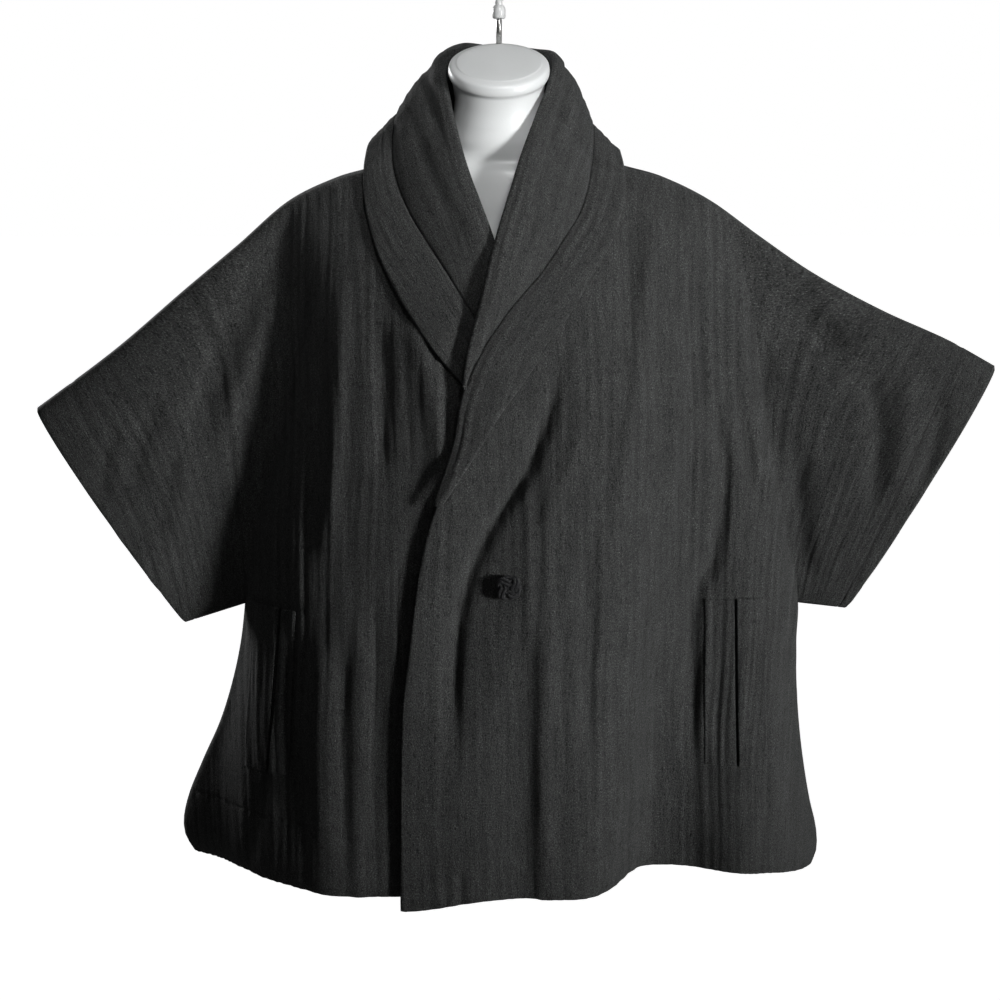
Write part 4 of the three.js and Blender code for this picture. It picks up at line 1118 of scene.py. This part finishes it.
def collar(side):
    """The inner part of the shawl collar: from the neck edge over the roll to the band."""
    k = np.linspace(0, COLLAR_ENDS[side], COLLAR_STATIONS + 1)
    neck, roll, seam, _ = collar_section(side, k)
    behind = collar_section(side, np.maximum(k - RUN_STEP, 0))[1]
    run = unit(collar_section(side, k + RUN_STEP)[1] - behind)
    mid = unit((neck + seam) / 2 - roll)
    outward = seam - neck + OUTWARD
    outward = outward - mid * dot(outward, mid)
    outward = unit(outward - run * dot(outward, run))
    start = neck + unit(roll - neck) * NECK_SEAM_GAP
    finish = seam + unit(roll - seam) * BAND_SEAM_GAP / 2
    full = 1 - ease(k, *TUCK)[:, None] if side == "right" else np.ones((len(k), 1))
    fall = np.linalg.norm(roll - finish, axis=1, keepdims=True)
    stand = np.linalg.norm(roll - start, axis=1, keepdims=True)
    radius = np.minimum(ROLL_RADIUS, ROLL_SHARE * np.minimum(fall, stand))
    puff = COLLAR_PUFF * full * np.clip(fall / PUFF_FULL, 0, 1)
    inner = roll + mid * radius - outward * radius
    outer = roll + mid * radius + outward * radius
    controls = [
        start,
        lerp(start, roll, 0.5),
        lerp(lerp(roll, start, ROLL_SHARE), inner, full),
        roll,
        lerp(lerp(roll, finish, ROLL_SHARE), outer, full),
        lerp(roll, finish, 0.5) + outward * puff,
        finish,
    ]
    points = curved(np.stack(controls, axis=1), COLLAR_STEPS)
    points[0, :, 0] = SIGN[side] * SEAM_GAP / 2
    across = lengths(points.swapaxes(0, 1)).T
    across = across - across[:, 3 * COLLAR_STEPS][:, None]
    along = np.broadcast_to(lengths(roll)[:, None], across.shape)
    height = -SEAM_DIP * bell(across[:, -1:] - across, SEAM_DIP_WIDTH)
    for v in each(VALLEYS[side]):
        share = ease(k, v["start"], v["start"] + 1) * (1 - ease(k, v["end"] - 2, v["end"]))
        at = lerp(v["near"], v["far"], np.clip((k - v["start"]) / (v["end"] - v["start"]), 0, 1))
        height -= v["depth"] * share[:, None] * bell(across - at[:, None], v["width"])
    marks = end_marks(across.shape, -1, slice(None))
    return collar_strip("collar_" + side, side, points, across, along, height, marks)


def band(side):
    """The outer band of the shawl collar, to its point on the front edge."""
    k = np.linspace(0, BAND_ENDS_AT, BAND_STATIONS + 1)
    seam, edge = collar_section(side, k)[2:]
    start = seam + unit(edge - seam) * BAND_SEAM_GAP / 2
    t = np.linspace(0, 1, BAND_STEPS + 1)
    points = lerp(start[:, None], edge[:, None], t[None, :, None])
    points[..., 1] += np.tanh(points[..., 1] / BAND_TURNS_OVER) * BAND_PUFF * np.sin(np.pi * t)
    points[0, :, 0] = SIGN[side] * SEAM_GAP / 2
    across = t * np.linalg.norm(edge - start, axis=1)[:, None]
    along = np.broadcast_to(lengths(seam)[:, None], across.shape)
    seamed = k < COLLAR_ENDS[side]
    height = -SEAM_DIP * bell(across, SEAM_DIP_WIDTH) * seamed[:, None]
    marks = end_marks(across.shape, 0, seamed)
    return collar_strip("collar_band_" + side, side, points, across, along, height, marks)


COLLARS = {side: collar(side) for side in SIDES}
BANDS = {side: band(side) for side in SIDES}


# Pockets, stitches and button

def on_cloth(face, side, x, up, lift):
    """Points held off a panel's finished outer face, and the directions out of it."""

    def at(x, up):
        return cloth_point(face, side, x, up, fine=True)

    n = unit(np.cross(at(x + 0.5, up) - at(x - 0.5, up), at(x, up + 0.5) - at(x, up - 0.5)))
    n = n if face == "front" else -n
    relief = RIB_HEIGHT * ribs(rib_across(x, up), up) - pressed_depth(face, x, up, False)
    relief = relief * flattens(face, x, up)
    return at(x, up) + n * (CLOTH / 2 + lift + relief)[..., None], n


def welt(side, which):
    """One welt of a pocket: a strip between the slit and the stitched line beside it."""
    p = POCKETS[side]
    t = np.linspace(0, 1, WELT_GRID[0] + 1)[:, None]
    s = np.linspace(0, 1, WELT_GRID[1] + 1)
    slit = lerp(*p["slit"], t)
    if which == "front":
        near, far = lerp(*p["inner"], t), slit - SLIT_GAP / 2
    else:
        near, far = slit + SLIT_GAP / 2, lerp(*p["outer"], t)
    x = SIGN[side] * lerp(near, far, s)
    up = np.broadcast_to(lerp(*p["up"], t), x.shape)
    points, _ = on_cloth("front", side, x, up, WELT_CLOTH / 2 + WELT_LIES_OFF)
    across = rib_across(x, up)
    cloth = Cloth()
    index = cloth.add(points=points, uv=np.stack([across, up], axis=-1), rib=ribs(across, up))
    cloth.grid(index, side == "right")
    return panel("welt_" + side + "_" + which, cloth, WELT_CLOTH)


WELTS = {(side, which): welt(side, which) for side in SIDES for which in ("front", "side")}


def stitch_run(face, side, line, lift=0.0):
    """Ends of the stitches along a line of x and up on a panel, and the directions out of it."""
    rows = np.array(line, float)
    share = np.linspace(0, len(rows) - 1, LINE_STEPS * (len(rows) - 1) + 1)
    x, up = (np.interp(share, np.arange(len(rows)), rows[:, i]) for i in (0, 1))
    far = lengths(on_cloth(face, side, x, up, lift)[0])
    starts = np.arange(1, far[-1] - STITCH_LENGTH, STITCH_PITCH)
    ends = []
    for d in (starts, starts + STITCH_LENGTH):
        ends.append(on_cloth(face, side, np.interp(d, far, x), np.interp(d, far, up), lift))
    return ends[0][0], ends[1][0], ends[0][1]


def stitching(name, runs):
    """One mesh of short threads that dip into the cloth at both ends."""
    start, end, out = (np.concatenate(column) for column in zip(*runs))
    side = unit(np.cross(end - start, out))
    turn = 2 * np.pi * np.arange(STITCH_SIDES) / STITCH_SIDES
    ring = out[:, None] * np.cos(turn)[:, None] + side[:, None] * np.sin(turn)[:, None]
    centres = np.stack([lerp(start, end, t) + out * lift for t, lift in STITCH_SHAPE], axis=1)
    points = centres[:, :, None] + ring[:, None] * THREAD_RADIUS
    index = np.arange(points.size // 3).reshape(points.shape[:3])
    piece(name, None, points, ring_faces(index), THREAD)


def hem_run(face, side, start, end):
    """The hem's stitches on one side, between two distances from the centre line."""
    out = np.linspace(start, end, LINE_POINTS)
    return stitch_run(face, side, np.stack([SIGN[side] * out, hem_line(np.abs(out))], axis=1))


def cuff_run(face, side):
    """The cuff's stitches, from the shoulder line to the underarm."""
    s = SLEEVE[side]
    over_pit = SHOULDER_OVER_PIT[side]
    b = 1 - CUFF_LINE / (CUFF_SLANT * (s["cuff_out"] - over_pit))
    top = lerp(over_pit, s["cuff_out"], b)
    foot = lerp(s["pit_out"], s["under_out"], b)
    t = np.linspace(*CUFF_STITCHED, LINE_POINTS)
    out = lerp(top, foot, t)
    up = lerp(shoulder_of[side](top), underarm_up(side, foot), t)
    return stitch_run(face, side, np.stack([SIGN[side] * out, up], axis=1))


def pocket_runs(side):
    """The stitches round a pocket's welts."""
    p = POCKETS[side]
    high, low = p["up"][0] - WELT_STITCH_IN, p["up"][1] + WELT_STITCH_IN
    lift = WELT_CLOTH + WELT_LIES_OFF
    near = [SIGN[side] * (v + WELT_STITCH_IN) for v in p["inner"]]
    far = [SIGN[side] * (v - WELT_STITCH_IN) for v in p["outer"]]
    slit = [SIGN[side] * v for v in p["slit"]]
    edge = SIGN[side] * (SLIT_GAP / 2 + 1)
    lines = [
        [(near[0], high), (near[1], low)],
        [(far[0], high), (far[1], low)],
        [(near[0], high), (slit[0] - edge, high)],
        [(slit[0] + edge, high), (far[0], high)],
        [(near[1], low), (slit[1] - edge, low)],
        [(slit[1] + edge, low), (far[1], low)],
    ]
    return [stitch_run("front", side, line, lift) for line in lines]


for side in SIDES:
    hems = [hem_run("front", side, *reach) for reach in HEM_STITCHED[side]]
    cuffs = [cuff_run("front", side), cuff_run("back", side)]
    stitching("stitching_" + side, hems + cuffs + pocket_runs(side))
stitching("stitching_back", [hem_run("back", side, *BACK_STITCHED[side]) for side in SIDES])


def tube(path, aside, radius, sides, closed):
    """A round cord along a path: its points, faces and uv. aside is a direction across it."""
    ahead = np.roll(path, -1, axis=0) - np.roll(path, 1, axis=0)
    if not closed:
        ahead[0] = path[1] - path[0]
        ahead[-1] = path[-1] - path[-2]
    ahead = unit(ahead)
    a = unit(aside - ahead * dot(aside, ahead))
    b = np.cross(ahead, a)
    turn = 2 * np.pi * np.arange(sides) / sides
    ring = a[:, None] * np.cos(turn)[:, None] + b[:, None] * np.sin(turn)[:, None]
    points = path[:, None] + ring * np.reshape(radius, (-1, 1, 1))
    index = np.arange(len(path) * sides).reshape(len(path), sides)
    if closed:
        index = np.concatenate([index, index[:1]])
    uv = np.stack(np.broadcast_arrays(turn * np.mean(radius), lengths(path)[:, None]), axis=-1)
    return points.reshape(-1, 3), ring_faces(index, True, not closed), uv.reshape(-1, 2)


def joined(parts):
    """Several lots of points, faces and uv as one."""
    faces = []
    count = 0
    for points, own, _ in parts:
        faces += [[i + count for i in face] for face in own]
        count += len(points)
    return np.concatenate([p[0] for p in parts]), faces, np.concatenate([p[2] for p in parts])


def knot_button():
    """The button: two strands plaited over and under on a dark core, and its shank."""
    t = np.linspace(0, 2 * np.pi, KNOT_STEPS, endpoint=False)
    turn = KNOT["leads"] * t
    polar = np.pi / 2 + math.radians(KNOT["reach"]) * np.cos(KNOT["bights"] * t)
    square = squared(turn)
    flat = KNOT["flat"]
    r = KNOT["path"]
    middle = ball_point(r, flat, polar, turn, square)
    out = unit(middle / (1, flat**2, 1))
    middle = middle + out * (KNOT["lift"] * np.sin(2 * KNOT["bights"] * t))[:, None]
    forward = np.roll(middle, -1, axis=0) - np.roll(middle, 1, axis=0)
    beside = unit(np.cross(forward, out)) * KNOT["cord"]
    at = cloth_point("front", "left", np.array(BUTTON["x"]), np.array(BUTTON["up"]))
    centre = at - (0, BUTTON["stands_off"] + BUTTON["thick"] / 2, 0)
    parts = []
    for sign in (-1, 1):
        parts.append(tube(centre + middle + sign * beside, out, KNOT["cord"], CORD_SIDES, True))
    polar = np.linspace(CORE_POLE, np.pi - CORE_POLE, CORE_GRID[0])
    turn = 2 * np.pi * np.arange(CORE_GRID[1]) / CORE_GRID[1]
    polar, turn = np.meshgrid(polar, turn, indexing="ij")
    core = ball_point(KNOT["core"], flat, polar, turn, squared(turn))
    index = np.arange(polar.size).reshape(polar.shape)
    uv = np.stack([turn * KNOT["core"], polar * KNOT["core"]], axis=-1).reshape(-1, 2)
    parts.append((centre + core.reshape(-1, 3), ring_faces(index, capped=True), uv))
    shank = np.stack([centre + (0, 2, 0), centre + (0, 4, 0), at - (0, 1, 0), at])
    parts.append(tube(shank, np.tile((1.0, 0, 0), (4, 1)), SHANK_RADIUS, CORD_SIDES, False))
    points, faces, uv = joined(parts)
    piece("knot_button", "button", points, faces, CORD, uv)


def squared(turn):
    """How far the knot's slightly square outline stands out at a turn."""
    corners = np.abs(np.cos(turn)) ** KNOT_SQUARE + np.abs(np.sin(turn)) ** KNOT_SQUARE
    return corners ** (-1 / KNOT_SQUARE)


def ball_point(radius, flat, polar, turn, square):
    x = radius * np.sin(polar) * np.cos(turn) * square
    y = radius * np.cos(polar) * flat
    z = radius * np.sin(polar) * np.sin(turn) * square
    return np.stack([x, y, z], axis=-1)


def buttonhole():
    """The worked buttonhole: close stitches across the slit, most of it under the button."""
    x = np.arange(*BUTTONHOLE, BUTTONHOLE_PITCH)
    runs = []
    for bar in BUTTONHOLE_BARS:
        low, high = (on_cloth("front", "left", x, BUTTON["up"] + v + 0 * x, 0.1) for v in bar)
        runs.append((low[0], high[0], low[1]))
    stitching("buttonhole", runs)


knot_button()
buttonhole()


# Torso form, pin and hook


def torso():
    """The moulded torso form: smooth rings from its foot to the cap, which is slightly domed."""
    count = len(FORM["up"])
    rows = dict(FORM, n=np.arange(count, dtype=float))
    at = np.linspace(0, count - 1, FORM_RINGS + 1)
    rings = {key: through(rows, "n", key)(at) for key in FORM}
    quarter = np.linspace(0, np.pi / 2, DOME_RINGS + 1)[1:]
    rings = {key: np.append(v, np.full(DOME_RINGS, v[-1]))[:, None] for key, v in rings.items()}
    shrink = np.append(np.ones(FORM_RINGS + 1), np.cos(quarter) + DOME_TOP)[:, None]
    rise = np.append(np.zeros(FORM_RINGS + 1), CAP_DOME * np.sin(quarter))[:, None]
    turn = 2 * np.pi * np.arange(FORM_SIDES) / FORM_SIDES
    s = np.sin(turn)
    x = rings["half"] * np.cos(turn) * shrink
    deep = rings["deep"] * np.sign(s) * np.abs(s) ** (1 + rings["tip"]) * shrink
    lean = np.radians(rings["lean"])
    y = rings["y"] + deep * np.cos(lean) - rise * np.sin(lean)
    up = rings["up"] + deep * np.sin(lean) + rise * np.cos(lean)
    points = np.stack([x, y, up], axis=-1)
    faces = ring_faces(np.arange(x.size).reshape(x.shape), True, True)
    piece("moulded_torso", "torso_form", points, faces, FORM_WHITE)


def under_hook(x, up):
    """Points in the hook's plane."""
    return np.stack([x, 0 * x + SHOULDER_BEFORE_HOOK, up], axis=-1)


def turned(name, slot, node, material, *profile):
    """A turned piece on the hook's line, from rows of radius and height."""
    radius, up = np.array(profile, float).T
    aside = np.tile((1.0, 0, 0), (len(up), 1))
    points, faces, uv = tube(under_hook(0 * up, up), aside, radius, TURNED_SIDES, False)
    piece(name, node, points, faces, material, uv)


def hook():
    """The hook: a straight stem and a round bend that opens towards -x, with a rounded tip."""
    radius = HOOK_INNER + HOOK_WIRE
    centre = HEM_BELOW_HOOK - HOOK_INNER
    stem = [(0, SOCKET_TOP), (0, centre - radius - 2)]
    turns = np.radians(np.linspace(*HOOK_TURNS, HOOK_TURN_STEPS) - 90)
    bend = [(radius * math.cos(a), centre + radius * math.sin(a)) for a in turns]
    tip = [(bend[-1][0] - HOOK_TIP, bend[-1][1] - HOOK_TIP / 2)]
    path = curved(under_hook(*np.array(stem + bend + tip, float).T)[None], HOOK_STEPS)[0]
    left = lengths(path)[-1] - lengths(path)
    near_tip = np.clip(left / HOOK_WIRE, 0, 1)
    thick = HOOK_WIRE * np.sqrt(np.maximum(1 - (1 - near_tip) ** 2, TIP_END))
    points, faces, uv = tube(path, np.tile((0, 1.0, 0), (len(path), 1)), thick, HOOK_SIDES, False)
    piece("hanging_hook", "hook", points, faces, HOOK_WHITE, uv)


torso()
hook()
turned(
    "cap_pin", "pin_metal", "neck_pin", STEEL,
    (AXIS, PIN_FOOT),
    (PIN_RADIUS, PIN_FOOT),
    (PIN_RADIUS, PIN_TOP - 0.6),
    (PIN_RADIUS - 0.5, PIN_TOP),
    (AXIS, PIN_TOP),
)
turned(
    "swivel_socket", "form_plastic", "hook_socket", HOOK_WHITE,
    (AXIS, SOCKET_FOOT),
    (SOCKET_RADIUS - 1.5, SOCKET_FOOT),
    (SOCKET_RADIUS - 0.5, SOCKET_FOOT + 0.6),
    (SOCKET_RADIUS, SOCKET_FOOT + 2),
    (SOCKET_RADIUS, SOCKET_TOP - 3.4),
    (SOCKET_RADIUS - 0.4, SOCKET_TOP - 2.6),
    (HOOK_WIRE + 1.2, SOCKET_TOP - SEAM_GAP),
    (AXIS, SOCKET_TOP - SEAM_GAP),
)


# Camera, light and floor

TARGET = (1, -34, -536)
DISTANCE = 2500
ELEVATION = math.radians(8)
LENS = 90
SENSOR = 36

camera = bpy.data.objects.new("camera", bpy.data.cameras.new("camera"))
bpy.context.collection.objects.link(camera)
target = Vector(TARGET) * MM
offset = Vector((0, -math.cos(ELEVATION), math.sin(ELEVATION))) * DISTANCE * MM
camera.location = target + offset
camera.rotation_euler = (-offset).to_track_quat("-Z", "Y").to_euler()
camera.data.lens = LENS
camera.data.sensor_width = SENSOR
bpy.context.scene.camera = camera


def area_light(name, place, aim, size, power, spread):
    light = bpy.data.lights.new(name, "AREA")
    light.shape = "DISK"
    light.size = size
    light.energy = power
    light.spread = math.radians(spread)
    obj = bpy.data.objects.new(name, light)
    obj.location = place
    obj.rotation_euler = (Vector(aim) - Vector(place)).to_track_quat("-Z", "Y").to_euler()
    bpy.context.collection.objects.link(obj)


area_light("key", (2.1, -1.8, -0.3), (0.34, -0.16, -0.48), 1.1, 2.95, 16)
area_light("behind", (-1.9, 2.2, 0.3), (0, 0, -0.45), 1.0, 3.0, 40)
area_light("neck", (0.35, -1.5, 0.9), (0, -0.03, -0.1), 0.5, 0.34, 24)

world = bpy.data.worlds.new("studio")
world.use_nodes = True
bpy.context.scene.world = world
background = world.node_tree.nodes["Background"]
seen = world.node_tree.nodes.new("ShaderNodeLightPath").outputs["Is Camera Ray"]
level = world.node_tree.nodes.new("ShaderNodeMapRange")
level.inputs[3].default_value, level.inputs[4].default_value = WORLD_GLOW
world.node_tree.links.new(seen, level.inputs[0])
world.node_tree.links.new(level.outputs[0], background.inputs["Strength"])
background.inputs["Color"].default_value = (1, 1, 1, 1)
bpy.context.scene.view_settings.view_transform = "Standard"

FLOOR_BELOW = 1320
FLOOR_HALF = 30
bpy.ops.mesh.primitive_plane_add(size=2 * FLOOR_HALF, location=(0, 0, -FLOOR_BELOW * MM))
floor = bpy.context.object
floor.name = "floor"
floor.data.materials.append(floor_finish())
